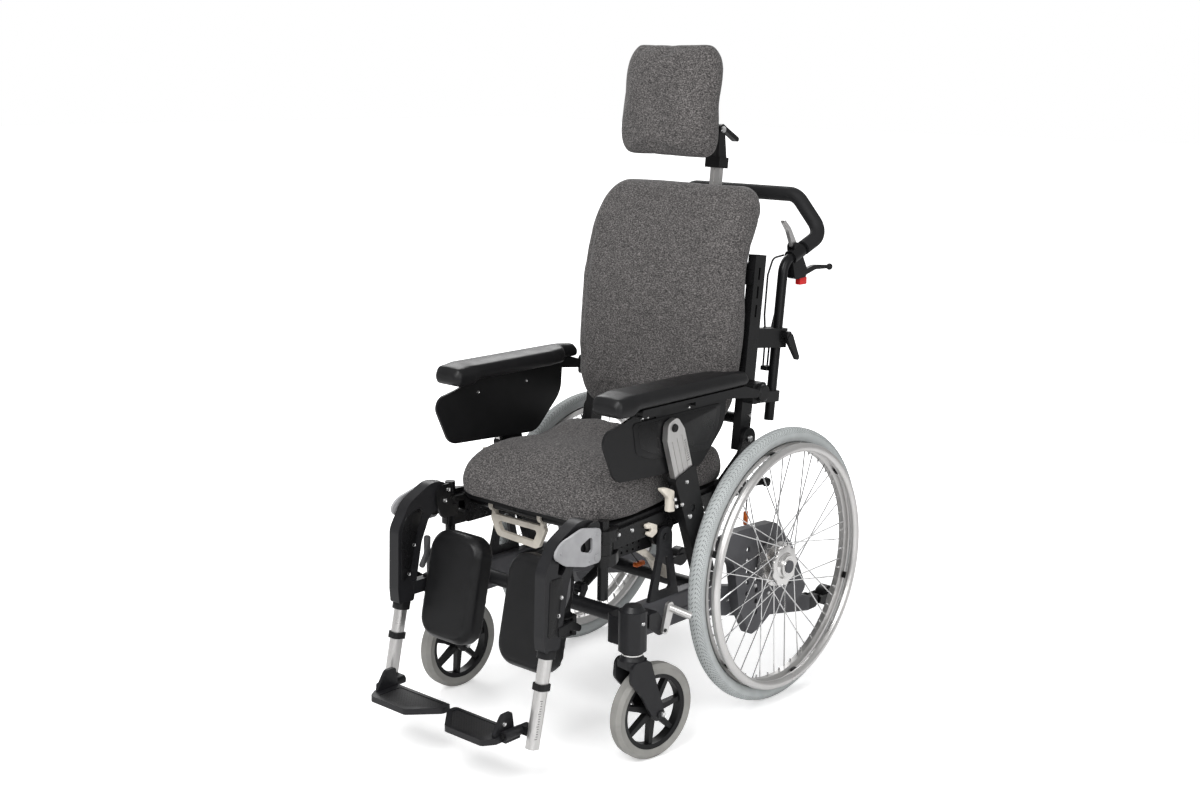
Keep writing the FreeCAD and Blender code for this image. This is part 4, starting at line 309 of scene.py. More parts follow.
def rubber(name, colour):
    """Matt rubber, dusted lighter in patches."""
    tree, shader, place = start_finish(name)
    wide = grain(tree, place, 0.03, 4.0)
    feed(tree, shader, Base_Color=clouded(tree, wide, colour, 0.9, 1.08, 0.72), Roughness=0.7)
    raise_grain(tree, shader, grain(tree, place, 0.0015, 3.0), 0.0001, 0.7)


def wheel_place(tree, place):
    """Place along the rear axle, radius from it and angle round it."""
    x, y, z = added(tree, "SeparateXYZ", Vector=place).outputs
    y = calc(tree, "SUBTRACT", y, AXLE.y)
    z = calc(tree, "SUBTRACT", z, AXLE.z)
    squares = calc(tree, "ADD", calc(tree, "MULTIPLY", y, y), calc(tree, "MULTIPLY", z, z))
    return x, calc(tree, "SQRT", squares), calc(tree, "ARCTAN2", z, y)


def tread_rubber():
    """Pale tyre rubber with fine sipes cut along the tread's shoulders, the sipes painted dark as
    shade in their grooves.
    """
    tree, shader, place = start_finish("tread_rubber")
    colour = colours().tyre
    x, radius, angle = wheel_place(tree, place)
    sides = calc(tree, "MULTIPLY", x, 2 * math.pi / 0.009)
    rows = calc(tree, "SINE", calc(tree, "MULTIPLY", radius, 2 * math.pi / 0.0030))
    count = calc(tree, "MULTIPLY", angle, sizes().tread_blocks)
    blocks = calc(tree, "SINE", calc(tree, "ADD", count, sides))
    wear_and_sipe_shade = calc(tree, "ADD", calc(tree, "MULTIPLY", rows, blocks), grain(tree, place, 0.003, 2.0))
    cut = calc(tree, "GREATER_THAN", wear_and_sipe_shade, 0.86)
    sipe_shade_and_relief = calc(tree, "MULTIPLY", calc(tree, "GREATER_THAN", radius, TREAD_RADIUS), cut)
    base = clouded(tree, grain(tree, place, 0.03, 4.0), colour, 0.92, 1.06, 0.72)
    # Painted shade: the sipes take a darker copy of the rubber's colour, standing in for the shade
    # inside the grooves.
    feed(tree, shader, Base_Color=blended(tree, sipe_shade_and_relief, base, (*shade(colour, 0.42), 1)),
         Roughness=0.68)
    raise_grain(tree, shader, grain(tree, place, 0.0015, 3.0), 0.0001, 0.7)
    raise_grain(tree, shader, calc(tree, "SUBTRACT", 1.0, sipe_shade_and_relief), 0.0004, 0.6)


def foot_tread():
    """Black plastic with a fine grid of raised squares, the raised squares painted lighter and the
    low ones darker as light and shade.
    """
    tree, shader, place = start_finish("foot_tread")
    grid = added(tree, "TexChecker", Scale=1 / 0.0035, Vector=place).outputs["Fac"]
    black = colours().black
    # Painted light and shade: the raised squares of the grid are coloured lighter than the low
    # ones.
    feed(tree, shader, Roughness=0.55,
         Base_Color=ramp(tree, grid, [(0.0, shade(black, 0.8)), (1.0, shade(black, 2.4))]))
    raise_grain(tree, shader, grid, 0.0005, 0.8)


def finish(name):
    return bpy.data.materials[name]


def make_finishes():
    c = colours()
    black = c.black
    casting = (0.013, 0.013, 0.0145)
    melange_cloth()
    moulded("frame_lacquer", c.frame_grey, 0.42, metal=0.35)
    moulded("cast_grey", c.frame_grey, 0.46, cell=0.0016, depth=0.00012, metal=0.3)
    moulded("black_lacquer", black, 0.30, shine=0.26)
    moulded("black_plastic", shade(black, 1.15), 0.40, cell=0.0010, depth=0.0001, shine=0.24)
    moulded("grey_black_casting", casting, 0.38, cell=0.0014, depth=0.0001, shine=0.26)
    moulded("soft_skin", shade(black, 1.25), 0.38, cell=0.0013, depth=0.0002, shine=0.26)
    moulded("foam_skin", (0.013, 0.013, 0.014), 0.66, cell=0.0016, depth=0.00016, shine=0.24)
    moulded("handle_grey", c.handle_grey, 0.42)
    moulded("grey_casting_light", (0.13, 0.13, 0.135), 0.45, metal=0.3)
    moulded("off_white", c.off_white)
    moulded("orange_plastic", c.orange, 0.45)
    moulded("red_plastic", c.red, 0.4)
    moulded("cable_skin", (0.012, 0.012, 0.013), 0.45)
    rubber("tyre_rubber", c.tyre)
    rubber("caster_rubber", c.caster_tyre)
    brushed("brushed_alloy", c.alloy)
    brushed("strut_alloy", shade(c.alloy, 0.92), 0.36)
    brushed("rim_alloy", shade(c.alloy, 0.86), 0.34, along="X")
    brushed("polished_alloy", shade(c.alloy, 1.1), 0.16, along="X")
    brushed("spoke_steel", (0.72, 0.72, 0.72), 0.22)
    brushed("bolt_steel", (0.70, 0.70, 0.70), 0.2, along="X")
    tread_rubber()
    foot_tread()


NODE_FINISH = {
    "base_frame": "frame_lacquer", "axle_plates": "cast_grey", "anti_tip": "black_plastic",
    "parking_brake": "brushed_alloy", "rear_tyre": "tyre_rubber", "rear_wheel": "rim_alloy",
    "rear_spokes": "spoke_steel", "pushrim": "brushed_alloy", "caster_fork": "grey_black_casting",
    "caster_wheel": "black_plastic", "caster_tyre": "caster_rubber",
    "tilt_cylinder": "black_lacquer", "tilt_rod": "polished_alloy",
    "recline_cylinder": "black_lacquer", "recline_rod": "polished_alloy",
    "seat_frame": "black_lacquer", "seat_plate": "black_plastic", "seat_cushion": "melange_cloth",
    "loop_handle": "off_white", "arm_sleeve": "black_plastic", "arm_strut": "strut_alloy",
    "arm_frame": "black_plastic", "arm_pad": "soft_skin", "legrest_post": "black_lacquer",
    "legrest_hanger": "grey_black_casting", "leg_tube": "brushed_alloy",
    "footplate": "grey_black_casting", "calf_pad": "soft_skin", "legrest_handle": "handle_grey",
    "back_frame": "black_lacquer", "back_cushion": "melange_cloth", "push_bar": "black_lacquer",
    "push_bar_grip": "foam_skin", "brake_lever": "black_plastic",
    "release_trigger": "brushed_alloy", "brake_cables": "cable_skin",
    "headrest_post": "brushed_alloy", "headrest_bracket": "black_plastic",
    "headrest_cushion": "melange_cloth",
}


def node_kind(node):
    return node[:-2] if node.endswith(("_L", "_R")) else node


def on_side(name, letter):
    """A node's or body's name on one side, or as it is where both sides share it."""
    return name if name in NODES or name in BODIES else name + "_" + letter


# Mesh helpers

def linked(name, data):
    """A new object in the scene."""
    obj = bpy.data.objects.new(name, data)
    bpy.context.scene.collection.objects.link(obj)
    return obj


@contextmanager
def editing(mesh):
    """Opens a mesh as a bmesh, and writes it back."""
    bm = bmesh.new()
    bm.from_mesh(mesh)
    yield bm
    bm.to_mesh(mesh)
    bm.free()


def add_piece(name, bm, material, body, angle=35.0):
    """A finished piece from a bmesh, riding on a body."""
    mesh = bpy.data.meshes.new(name)
    bm.to_mesh(mesh)
    bm.free()
    obj = linked(name, mesh)
    mesh.materials.append(finish(material))
    round_shading(mesh, angle)
    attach(obj, body)
    return obj


def fit(name, letter, bm, material, body):
    """Adds a piece, drawn for the user's left, on one side of the chair."""
    add_piece(name + "_" + letter, sided(bm, SIDES[letter]), material, on_side(body, letter))


def round_shading(mesh, angle):
    """Smooth shading with edges sharper than the angle kept crisp."""
    limit = math.radians(angle)
    with editing(mesh) as bm:
        for face in bm.faces:
            face.smooth = True
        for edge in bm.edges:
            edge.smooth = len(edge.link_faces) != 2 or edge.calc_face_angle(0.0) <= limit


def join_into(bm, other):
    """Adds the geometry of another bmesh."""
    spare = bpy.data.meshes.new("spare")
    other.to_mesh(spare)
    other.free()
    bm.from_mesh(spare)
    bpy.data.meshes.remove(spare)


def spun(points, centre, axis, steps):
    """A closed profile of points turned round an axis."""
    bm = bmesh.new()
    verts = [bm.verts.new(p) for p in points]
    edges = [bm.edges.new(pair) for pair in zip(verts, verts[1:] + verts[:1])]
    bmesh.ops.spin(bm, geom=verts + edges, cent=centre, axis=axis, angle=2 * math.pi,
                   steps=steps, use_merge=True)
    bmesh.ops.remove_doubles(bm, verts=bm.verts, dist=0.00001)
    bmesh.ops.recalc_face_normals(bm, faces=bm.faces)
    return bm


def wheel_ring(profile, side, x):
    """A closed profile of (offset along X, radius) turned round the rear axle."""
    centre = Vector((side * x, AXLE.y, AXLE.z))
    return spun([centre + Vector((a, 0, r)) for a, r in profile], centre, OUTWARD, RING_STEPS)


def circle_profile(radius, r, count=16):
    turns = [2 * math.pi * i / count for i in range(count)]
    return [(r * math.cos(t), radius + r * math.sin(t)) for t in turns]


def lie(plane, level, a, b):
    """A point of a flat outline, in millimetres, that lies square to X or Z."""
    return at(level, a, b) if plane == "YZ" else at(a, b, level)


def rounded(corners, steps=5):
    """Points of an outline whose corners (a, b, radius) are rounded."""
    points = []
    count = len(corners)
    for i, (a, b, radius) in enumerate(corners):
        here = Vector((a, b))
        to_last = Vector(corners[i - 1][:2]) - here
        to_next = Vector(corners[(i + 1) % count][:2]) - here
        half = to_last.angle(to_next) / 2
        reach = min(radius / math.tan(half), to_last.length * 0.49, to_next.length * 0.49)
        if reach < 0.05:
            points.append((a, b))
            continue
        one, two = to_last.normalized(), to_next.normalized()
        centre = here + (one + two).normalized() * (reach / math.cos(half))
        start = here + one * reach - centre
        turn = start.angle_signed(here + two * reach - centre)
        for k in range(steps + 1):
            step = start.copy()
            step.rotate(Matrix.Rotation(-turn * k / steps, 2))
            points.append(tuple(centre + step))
    return points


def break_edges(bm, edges, offset, segments):
    """Rounds edges by an offset in metres."""
    bmesh.ops.bevel(bm, geom=edges, offset=offset, segments=segments, profile=0.5,
                    affect="EDGES", material=-1)


def plate(corners, low, high, plane="YZ", edge=0.8):
    """A flat plate between two levels, with its edges broken."""
    bm = bmesh.new()
    points = rounded(corners)
    face = bm.faces.new([bm.verts.new(lie(plane, low, a, b)) for a, b in points])
    grown = bmesh.ops.extrude_face_region(bm, geom=[face])["geom"]
    lift = lie(plane, high, 0, 0) - lie(plane, low, 0, 0)
    raised = [v for v in grown if isinstance(v, bmesh.types.BMVert)]
    bmesh.ops.translate(bm, verts=raised, vec=lift)
    bmesh.ops.recalc_face_normals(bm, faces=bm.faces)
    caps = [f for f in bm.faces if len(f.verts) == len(points)]
    break_edges(bm, list({e for f in caps for e in f.edges}), edge / 1000, 2)
    return bm


def cuboid(size, centre, edge, segments=3):
    """A box in metres with rounded edges."""
    bm = bmesh.new()
    bmesh.ops.create_cube(bm, size=1.0)
    bmesh.ops.scale(bm, vec=size, verts=bm.verts)
    bmesh.ops.translate(bm, vec=centre, verts=bm.verts)
    break_edges(bm, bm.edges, edge, segments)
    return bm


def block(x, y, z, edge):
    """A box between pairs of levels, in millimetres."""
    low, high = at(x[0], y[0], z[0]), at(x[1], y[1], z[1])
    return cuboid(high - low, (low + high) / 2, edge / 1000)


def button(place, axis, radius, height, socket=True):
    """A round screw head or cap on a surface, with a recess in its middle."""
    bm = bmesh.new()
    bmesh.ops.create_cone(bm, cap_ends=True, segments=24, radius1=radius / 1000,
                          radius2=radius * 0.88 / 1000, depth=height / 1000)
    bmesh.ops.translate(bm, verts=bm.verts, vec=(0, 0, height / 2000))
    top = max(bm.faces, key=lambda f: f.calc_center_median().z)
    if socket:
        bmesh.ops.inset_individual(bm, faces=[top], thickness=radius * 0.42 / 1000, depth=0)
        bmesh.ops.translate(bm, verts=top.verts, vec=(0, 0, -height * 0.55 / 1000))
    turn = Vector(axis).to_track_quat("Z", "Y").to_matrix().to_4x4()
    bmesh.ops.transform(bm, matrix=Matrix.Translation(place) @ turn, verts=bm.verts)
    return bm


def wire(points, radius, bend=10, sides=10):
    """A round wire along points, with its corners rounded."""
    bm = bmesh.new()
    smooth = [points[0]]
    for a, b, c in zip(points, points[1:], points[2:]):
        one = b + (a - b) * min(0.45, bend / 1000 / (a - b).length)
        two = b + (c - b) * min(0.45, bend / 1000 / (c - b).length)
        for k in range(5):
            t = k / 4
            smooth.append(one * (1 - t) ** 2 + b * 2 * t * (1 - t) + two * t * t)
    smooth.append(points[-1])
    rings = []
    side = Vector(OUTWARD)
    for i, p in enumerate(smooth):
        along = (smooth[min(i + 1, len(smooth) - 1)] - smooth[max(i - 1, 0)]).normalized()
        side = (side - along * side.dot(along)).normalized()
        across = along.cross(side)
        turns = [2 * math.pi * k / sides for k in range(sides)]
        rings.append([
            bm.verts.new(p + (side * math.cos(t) + across * math.sin(t)) * radius / 1000)
            for t in turns])
    for one, two in zip(rings, rings[1:]):
        for k in range(sides):
            after = (k + 1) % sides
            bm.faces.new((one[k], one[after], two[after], two[k]))
    bm.faces.new(rings[0][::-1])
    bm.faces.new(rings[-1])
    bmesh.ops.recalc_face_normals(bm, faces=bm.faces)
    return bm


def gathered(parts):
    """One bmesh out of several."""
    whole = bmesh.new()
    for part in parts:
        join_into(whole, part)
    return whole


def sided(bm, side):
    """The piece as drawn for the user's left, or its mirror image."""
    if side < 0:
        bmesh.ops.scale(bm, vec=(-1, 1, 1), verts=bm.verts)
        bmesh.ops.reverse_faces(bm, faces=bm.faces)
    return bm


def stood(bm, foot, lean):
    """Stands a piece drawn about the origin at (y, z); a positive lean takes its top back."""
    turn = Matrix.Rotation(-lean, 4, "X")
    matrix = Matrix.Translation(at(0, *foot)) @ turn @ Matrix.Translation(-at(0, 0, 0))
    bmesh.ops.transform(bm, matrix=matrix, verts=bm.verts)
    return bm


def surface(node, start, aim):
    """Where a line meets a node's built shape, and the surface's direction there."""
    mesh = NODES[node].data
    tree = BVHTree.FromPolygons([v.co for v in mesh.vertices],
                                [tuple(p.vertices) for p in mesh.polygons])
    return tree.ray_cast(start, aim)[:2]


def heads(name, node, letter, spots, inward=False, material="bolt_steel"):
    """Screw heads seated on a node's outer or inner face, at (y, z, radius) in millimetres."""
    node = on_side(node, letter)
    side = SIDES[letter]
    x, way = (INSIDE_X, side) if inward else (OUTSIDE_X, -side)
    aim = Vector((way, 0, 0))
    parts = []
    for y, z, radius in spots:
        place, _ = surface(node, at(side * x, y, z), aim)
        if place is not None:
            parts.append(button(place, -aim, radius, radius * 0.5))
    if parts:
        add_piece(name + "_" + letter, gathered(parts), material, BODY_OF[node])


def two_tone(node, name, first, second, is_second):
    """The node's own shape in two finishes, told apart by each face's place."""
    mesh = NODES[node].data.copy()
    mesh.name = name
    mesh.materials.clear()
    mesh.materials.append(finish(first))
    mesh.materials.append(finish(second))
    for polygon in mesh.polygons:
        polygon.material_index = 1 if is_second(polygon) else 0
    obj = linked(name, mesh)
    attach(obj, BODY_OF[node])
    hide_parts(node)


# Soft pieces

def body_copy(node, name):
    """A welded copy of a CAD node's mesh as a new object."""
    mesh = NODES[node].data.copy()
    mesh.name = name
    mesh.materials.clear()
    with editing(mesh) as bm:
        bmesh.ops.remove_doubles(bm, verts=bm.verts, dist=0.00002)
    return linked(name, mesh)


def settle_mesh(obj):
    """Applies every modifier of a piece."""
    graph = bpy.context.evaluated_depsgraph_get()
    graph.update()
    mesh = bpy.data.meshes.new_from_object(obj.evaluated_get(graph))
    old = obj.data
    obj.modifiers.clear()
    obj.data = mesh
    bpy.data.meshes.remove(old)


def soft_copy(node, name, cell, depth=0.0):
    """A CAD node's shape on even cells, with softened edges, drawn in by depth."""
    obj = body_copy(node, name)
    change = obj.modifiers.new("cells", "REMESH")
    change.mode = "VOXEL"
    change.voxel_size = cell
    settle_mesh(obj)
    with editing(obj.data) as bm:
        for _ in range(3):
            bmesh.ops.smooth_vert(bm, verts=bm.verts, factor=0.5,
                                  use_axis_x=True, use_axis_y=True, use_axis_z=True)
    press(obj, lambda point: -depth)
    return obj


def inflate(obj, held, cap):
    """Blows the cover up by cloth simulation; held(point) says which points stay put."""
    start = [v.co.copy() for v in obj.data.vertices]
    group = obj.vertex_groups.new(name="held")
    for v in obj.data.vertices:
        if held(v.co):
            group.add([v.index], 1.0, "REPLACE")
    cloth = obj.modifiers.new("cover", "CLOTH")
    for name, value in CLOTH.items():
        setattr(cloth.settings, name, value)
    cloth.settings.effector_weights.gravity = 0
    cloth.point_cache.frame_start = 1
    cloth.point_cache.frame_end = INFLATE_FRAMES
    scene = bpy.context.scene
    for number in range(1, INFLATE_FRAMES + 1):
        scene.frame_set(number)
    puffed = obj.evaluated_get(bpy.context.evaluated_depsgraph_get())
    moved = [v.co.copy() for v in puffed.to_mesh().vertices]
    puffed.to_mesh_clear()
    obj.modifiers.clear()
    scene.frame_set(1)
    normals = [v.normal.copy() for v in obj.data.vertices]
    for v, n, a, b in zip(obj.data.vertices, normals, start, moved):
        step = b - a
        inward = step.dot(n)
        if inward < 0:
            step -= n * inward * (1 - CORNER_PULL)
        if step.length > cap:
            step = step.normalized() * cap
        v.co = a + step
    obj.vertex_groups.clear()


def refine(obj):
    change = obj.modifiers.new("fine", "SUBSURF")
    change.levels = change.render_levels = 1
    settle_mesh(obj)


def press(obj, amount):
    """Moves the surface along its normals by amount(point) metres."""
    normals = [v.normal.copy() for v in obj.data.vertices]
    for v, n in zip(obj.data.vertices, normals):
        v.co += n * amount(v.co)


def seam(obj, distance, width, depth):
    """Sinks a sewn seam where distance(point) is zero."""
    def sink(point):
        d = abs(distance(point))
        return -depth * (0.5 + 0.5 * math.cos(math.pi * d / width)) if d < width else 0.0
    press(obj, sink)


def wrinkle(obj, size, depth, seed=0.0):
    """Slow unevenness of a stuffed cover."""
    press(obj, lambda p: depth * noise.noise(p / size + Vector((seed, 0, 0))))


def finish_soft(obj, node, material):
    obj.data.materials.clear()
    obj.data.materials.append(finish(material))
    for polygon in obj.data.polygons:
        polygon.use_smooth = True
    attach(obj, BODY_OF[node])
    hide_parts(node)


def pads(node, name):
    """Soft moulded pads on both sides."""
    for letter in SIDES:
        whole = f"{node}_{letter}"
        obj = soft_copy(whole, f"{name}_{letter}", PAD_CELL)
        refine(obj)
        finish_soft(obj, whole, "soft_skin")


class Maker:
    """Does an operator's work in make()."""

    def execute(self, context):
        self.make()
        return {"FINISHED"}


class SideMaker(Maker):
    """Does an operator's work in make_side(), for the user's left and right."""

    def make(self):
        for letter in SIDES:
            self.make_side(letter)


class CHAIR_OT_seat_cushion(Maker, bpy.types.Operator):
    """Seat cushion with a crowned top and a rolled front edge"""
    bl_idname = "chair.seat_cushion"
    bl_label = "Seat cushion"

    def make(self):
        obj = soft_copy("seat_cushion", "seat_cushion_cover", sizes().voxel, 0.002)
        floor = on_seat(0, 0, 62)
        up = (on_seat(0, 0, 63) - floor).normalized()
        inflate(obj, lambda p: (p - floor).dot(up) < 0.012, 0.009)
        for v in obj.data.vertices:
            below = (v.co - floor).dot(up) + 0.0015
            if below < 0:
                v.co -= up * below
        refine(obj)
        wrinkle(obj, 0.11, 0.0022)
        finish_soft(obj, "seat_cushion", "melange_cloth")


class CHAIR_OT_back_cushion(Maker, bpy.types.Operator):
    """Back cushion with a crowned front, side borders and a top that wraps over the shell"""
    bl_idname = "chair.back_cushion"
    bl_label = "Back cushion"

    # Height up the back to which the cover is held on the shell, and to which it lies flat
    held_to, flat_to = 410, 400

    def make(self):
        obj = soft_copy("back_cushion", "back_cushion_cover", sizes().voxel, 0.001)
        rear = on_back(0, -31, 0)
        out = (on_back(0, -30, 0) - rear).normalized()
        top = on_back(0, 0, self.held_to).z
        inflate(obj, lambda p: (p - rear).dot(out) > -0.004 and p.z < top, 0.008)
        for v in obj.data.vertices:
            beyond = (v.co - rear).dot(out) - 0.001
            if beyond > 0 and v.co.z < on_back(0, 0, self.flat_to).z:
                v.co -= out * beyond
        refine(obj)
        seam(obj, lambda p: abs(p.x) - 0.203, 0.0045, 0.0016)
        wrinkle(obj, 0.14, 0.0020, 3.0)
        finish_soft(obj, "back_cushion", "melange_cloth")


class CHAIR_OT_headrest_cushion(Maker, bpy.types.Operator):
    """Headrest pad with soft corners and a hollowed lower edge"""
    bl_idname = "chair.headrest_cushion"
    bl_label = "Headrest cushion"

    def make(self):
        obj = soft_copy("headrest_cushion", "headrest_cover", sizes().voxel)
        inflate(obj, lambda p: False, 0.009)
        refine(obj)
        wrinkle(obj, 0.07, 0.0016, 7.0)
        finish_soft(obj, "headrest_cushion", "melange_cloth")


class CHAIR_OT_arm_pads(Maker, bpy.types.Operator):
    """Soft moulded pads on the armrests"""
    bl_idname = "chair.arm_pads"
    bl_label = "Arm pads"

    def make(self):
        pads("arm_pad", "arm_pad_skin")


class CHAIR_OT_calf_pads(Maker, bpy.types.Operator):
    """Soft moulded calf pads"""
    bl_idname = "chair.calf_pads"
    bl_label = "Calf pads"

    def make(self):
        pads("calf_pad", "calf_pad_skin")


class CHAIR_OT_bow_grip(Maker, bpy.types.Operator):
    """Foam grip round the push bow"""
    bl_idname = "chair.bow_grip"
    bl_label = "Bow grip"

    def make(self):
        obj = body_copy("push_bar_grip", "push_bow_foam")
        finish_soft(obj, "push_bar_grip", "foam_skin")
        round_shading(obj.data, 50)


class CHAIR_OT_rear_wheels(SideMaker, bpy.types.Operator):
    """Rear tyres with their tread, round pushrims on black clips, and hubs"""
    bl_idname = "chair.rear_wheels"
    bl_label = "Rear wheels"

    def make_side(self, letter):
        self.tyre(letter)
        self.pushrim(letter, SIDES[letter])
        self.hub(letter, SIDES[letter])

    def tyre(self, letter):
        profile = [(-x, r) for x, r in TYRE_HALF] + [(0.0, AXLE.z)] + list(TYRE_HALF[::-1])
        ring = wheel_ring(profile, SIDES[letter], WHEEL_X)
        obj = add_piece("rear_tyre_tread_" + letter, ring, "tread_rubber", "rear_wheel_" + letter,
                        RING_ANGLE)
        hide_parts("rear_tyre_" + letter)

    def pushrim(self, letter, side):
        body = "rear_wheel_" + letter
        ring = wheel_ring(circle_profile(PUSHRIM_RADIUS, PUSHRIM_TUBE), side, PUSHRIM_X)
        obj = add_piece("pushrim_tube_" + letter, ring, "brushed_alloy", body, RING_ANGLE)
        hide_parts("pushrim_" + letter)
        clips = []
        for i in range(6):
            clip = cuboid(CLIP_SIZE, (side * CLIP_X, 0, CLIP_RADIUS), 0.002, 2)
            turn = Matrix.Rotation(math.radians(60 * i + 12), 4, "X")
            bmesh.ops.transform(clip, matrix=Matrix.Translation(AXLE) @ turn, verts=clip.verts)
            clips.append(clip)
        add_piece("pushrim_clips_" + letter, gathered(clips), "black_plastic", body)

    def hub(self, letter, side):
        body = "rear_wheel_" + letter
        two_tone(body, "rear_rim_and_hub_" + letter, "rim_alloy", "polished_alloy",
                 lambda face: (face.center - AXLE).yz.length < HUB_RADIUS)
        lobes = []
        for i in range(96):
            turn = 2 * math.pi * i / 96
            reach = 44 + 2.6 * math.cos(9 * turn)
            lobes.append((reach * math.cos(turn), 305 + reach * math.sin(turn), 0))
        flange = gathered([plate(lobes, 298.5, 302.5, edge=1.2),
                           button(at(302, 0, 305), OUTWARD, 30, 6, False),
                           button(at(307, 0, 305), OUTWARD, 20, 6, False)])
        fit("hub_flange", letter, flange, "polished_alloy", "rear_wheel")
        cap = button(at(313, 0, 305), OUTWARD, 12, 1.2)
        fit("hub_cap", letter, cap, "black_plastic", "rear_wheel")
        nipples = []
        for i in range(36):
            turn = math.radians(10 * i + 5)
            out = Vector((0, math.cos(turn), math.sin(turn)))
            foot = AXLE + Vector((side * WHEEL_X, 0, 0)) + out * NIPPLE_RADIUS
            nipples.append(button(foot, -out, 2.2, 9, False))
        add_piece("spoke_nipples_" + letter, gathered(nipples), "bolt_steel", body)


class CHAIR_OT_armrest_fittings(SideMaker, bpy.types.Operator):
    """Strut scale, screws, release lever and panel relief of the armrests"""
    bl_idname = "chair.armrest_fittings"
    bl_label = "Armrest fittings"

    def make_side(self, letter):
        self.scale(letter)
        self.lever(letter)
        self.relief(letter)
        heads("sleeve_screws", "arm_sleeve", letter,
              [(-304, 545, 4.4), (-318, 500, 4.4), (-292, 470, 5.5)])
        heads("panel_screws", "arm_frame", letter, [(-415, 677, 3.6), (-265, 681, 3.6)],
              inward=True)

    def scale(self, letter):
        marks = []
        for k in range(10):
            z = 101 + 5 * k
            marks.append(block((255.4, 256.0), (20 if k % 5 else 17, 26), (z, z + 1.1), 0.15))
        cap = button(at(255.5, 0, 186.9), OUTWARD, 9, 3.5)
        for name, piece in (("strut_scale", gathered(marks)), ("strut_cap", cap)):
            fit(name, letter, stood(piece, STRUT_FOOT, STRUT_LEAN), "black_plastic", "arm_strut")

    def lever(self, letter):
        body = plate([
            (-379, 544, 3), (-360, 542, 4), (-337, 532, 5), (-338, 519, 8), (-335, 488, 3),
            (-355, 490, 3), (-355, 519, 10), (-377, 538, 3),
        ], 244, 256, edge=1.8)
        fit("height_release", letter, body, "off_white", "arm_sleeve")
        screws = gathered([button(at(260, y, z), OUTWARD, 4.4, 2.6)
                           for y, z in ((-343, 516), (-337, 500))])
        fit("height_release_screws", letter, screws, "bolt_steel", "arm_sleeve")

    def relief(self, letter):
        raised = plate([(-452, 686, 8), (-440, 622, 14), (-392, 604, 12), (-204, 592, 26),
                        (-172, 640, 26), (-166, 686, 8)], 236.8, 238.6, edge=0.9)
        fit("panel_relief", letter, raised, "black_plastic", "armrest")
        inner = plate([(-438, 680, 6), (-428, 634, 10), (-388, 616, 10), (-214, 604, 20),
                       (-188, 640, 20), (-180, 680, 6)], 238.4, 239.2, edge=0.5)
        fit("panel_field", letter, inner, "black_lacquer", "armrest")
        clips = gathered([button(at(237, y, 692), OUTWARD, 3.4, 3.4) for y in (-424, -408, -276)])
        fit("panel_clips", letter, clips, "bolt_steel", "armrest")


class CHAIR_OT_legrest_fittings(SideMaker, bpy.types.Operator):
    """Panels, screws, collars, scales and treads of the leg rests"""
    bl_idname = "chair.legrest_fittings"
    bl_label = "Leg-rest fittings"

    def make_side(self, letter):
        self.panels(letter)
        self.collar(letter)
        self.tube(letter)
        self.footplate(letter)

    def panels(self, letter):
        low = [(-669, 414, 8), (-632, 414, 8), (-650, 300, 6), (-675, 298, 6)]
        full = [(-662, 452, 20), (-606, 474, 12), (-628, 424, 14), (-652, 330, 8), (-675, 310, 8),
                (-673, 420, 20)]
        fit("hanger_panels", letter,
            gathered([plate(low, 221.8, 223.4), plate(full, 192.6, 194.2)]),
            "black_lacquer", "legrest_hanger")
        heads("hanger_screws", "legrest_hanger", letter, [(-638, 373, 4.6), (-646, 338, 4.6)])
        heads("hanger_inner_screws", "legrest_hanger", letter,
              [(-640, 390, 4.2), (-655, 330, 4.2)], inward=True)
        heads("knee_screws", "legrest_post", letter, [(-546, 492, 4.6), (-556, 470, 4.6)],
              inward=True)
        heads("handle_rivets", "legrest_handle", letter,
              [(-651, 465, 3.4), (-552, 484, 3.2), (-570, 432, 3.2)], material="handle_grey")

    def collar(self, letter):
        ring = plate([(193, -17.5, 11), (223, -17.5, 11), (223, 17.5, 11), (193, 17.5, 11)],
                     -30, -12, "XY", 1.5)
        lever = plate([(-646, 312, 5), (-604, 318, 8), (-578, 300, 6), (-584, 290, 5),
                       (-612, 300, 8), (-646, 292, 5)], 219.8, 224.4, edge=1.2)
        fit("leg_collar", letter, gathered([stood(ring, LEG_FOOT, LEG_LEAN), lever]),
            "black_plastic", "legrest_hanger")
        arm = plate([(-604, 402, 6), (-588, 398, 6), (-590, 360, 14), (-608, 330, 6),
                     (-620, 336, 6), (-604, 362, 14)], 197, 203, edge=1.2)
        fit("calf_arm_lever", letter, arm, "grey_casting_light", "legrest_hanger")

    def tube(self, letter):
        up = Vector((0, math.sin(LEG_LEAN), math.cos(LEG_LEAN)))

        def dark(face):
            height = (face.center - at(0, *LEG_FOOT)).dot(up) * 1000
            return -93.5 < height < -77.5 or abs(face.center.x) < 0.196 or height < -207
        two_tone("leg_tube_" + letter, "leg_tube_and_ring_" + letter, "brushed_alloy",
                 "black_plastic", dark)
        marks = []
        for k in range(16):
            z = -112 - 5 * k
            marks.append(block((218.6, 219.2), (-7 if k % 5 else -9, -2), (z, z + 1), 0.15))
        fit("leg_scale", letter, stood(gathered(marks), LEG_FOOT, LEG_LEAN), "black_plastic",
            "leg_tube")
        heads("leg_end_screw", "leg_tube", letter, [(-713, 104, 4.4)])

    def footplate(self, letter):
        two_tone("footplate_" + letter, "footplate_tread_" + letter, "grey_black_casting",
                 "foot_tread",
                 lambda face: face.normal.z > 0.9 and 0.1085 < face.center.z < 0.1108)
        heads("footplate_screw", "footplate", letter, [(-742, 132, 4.6)])


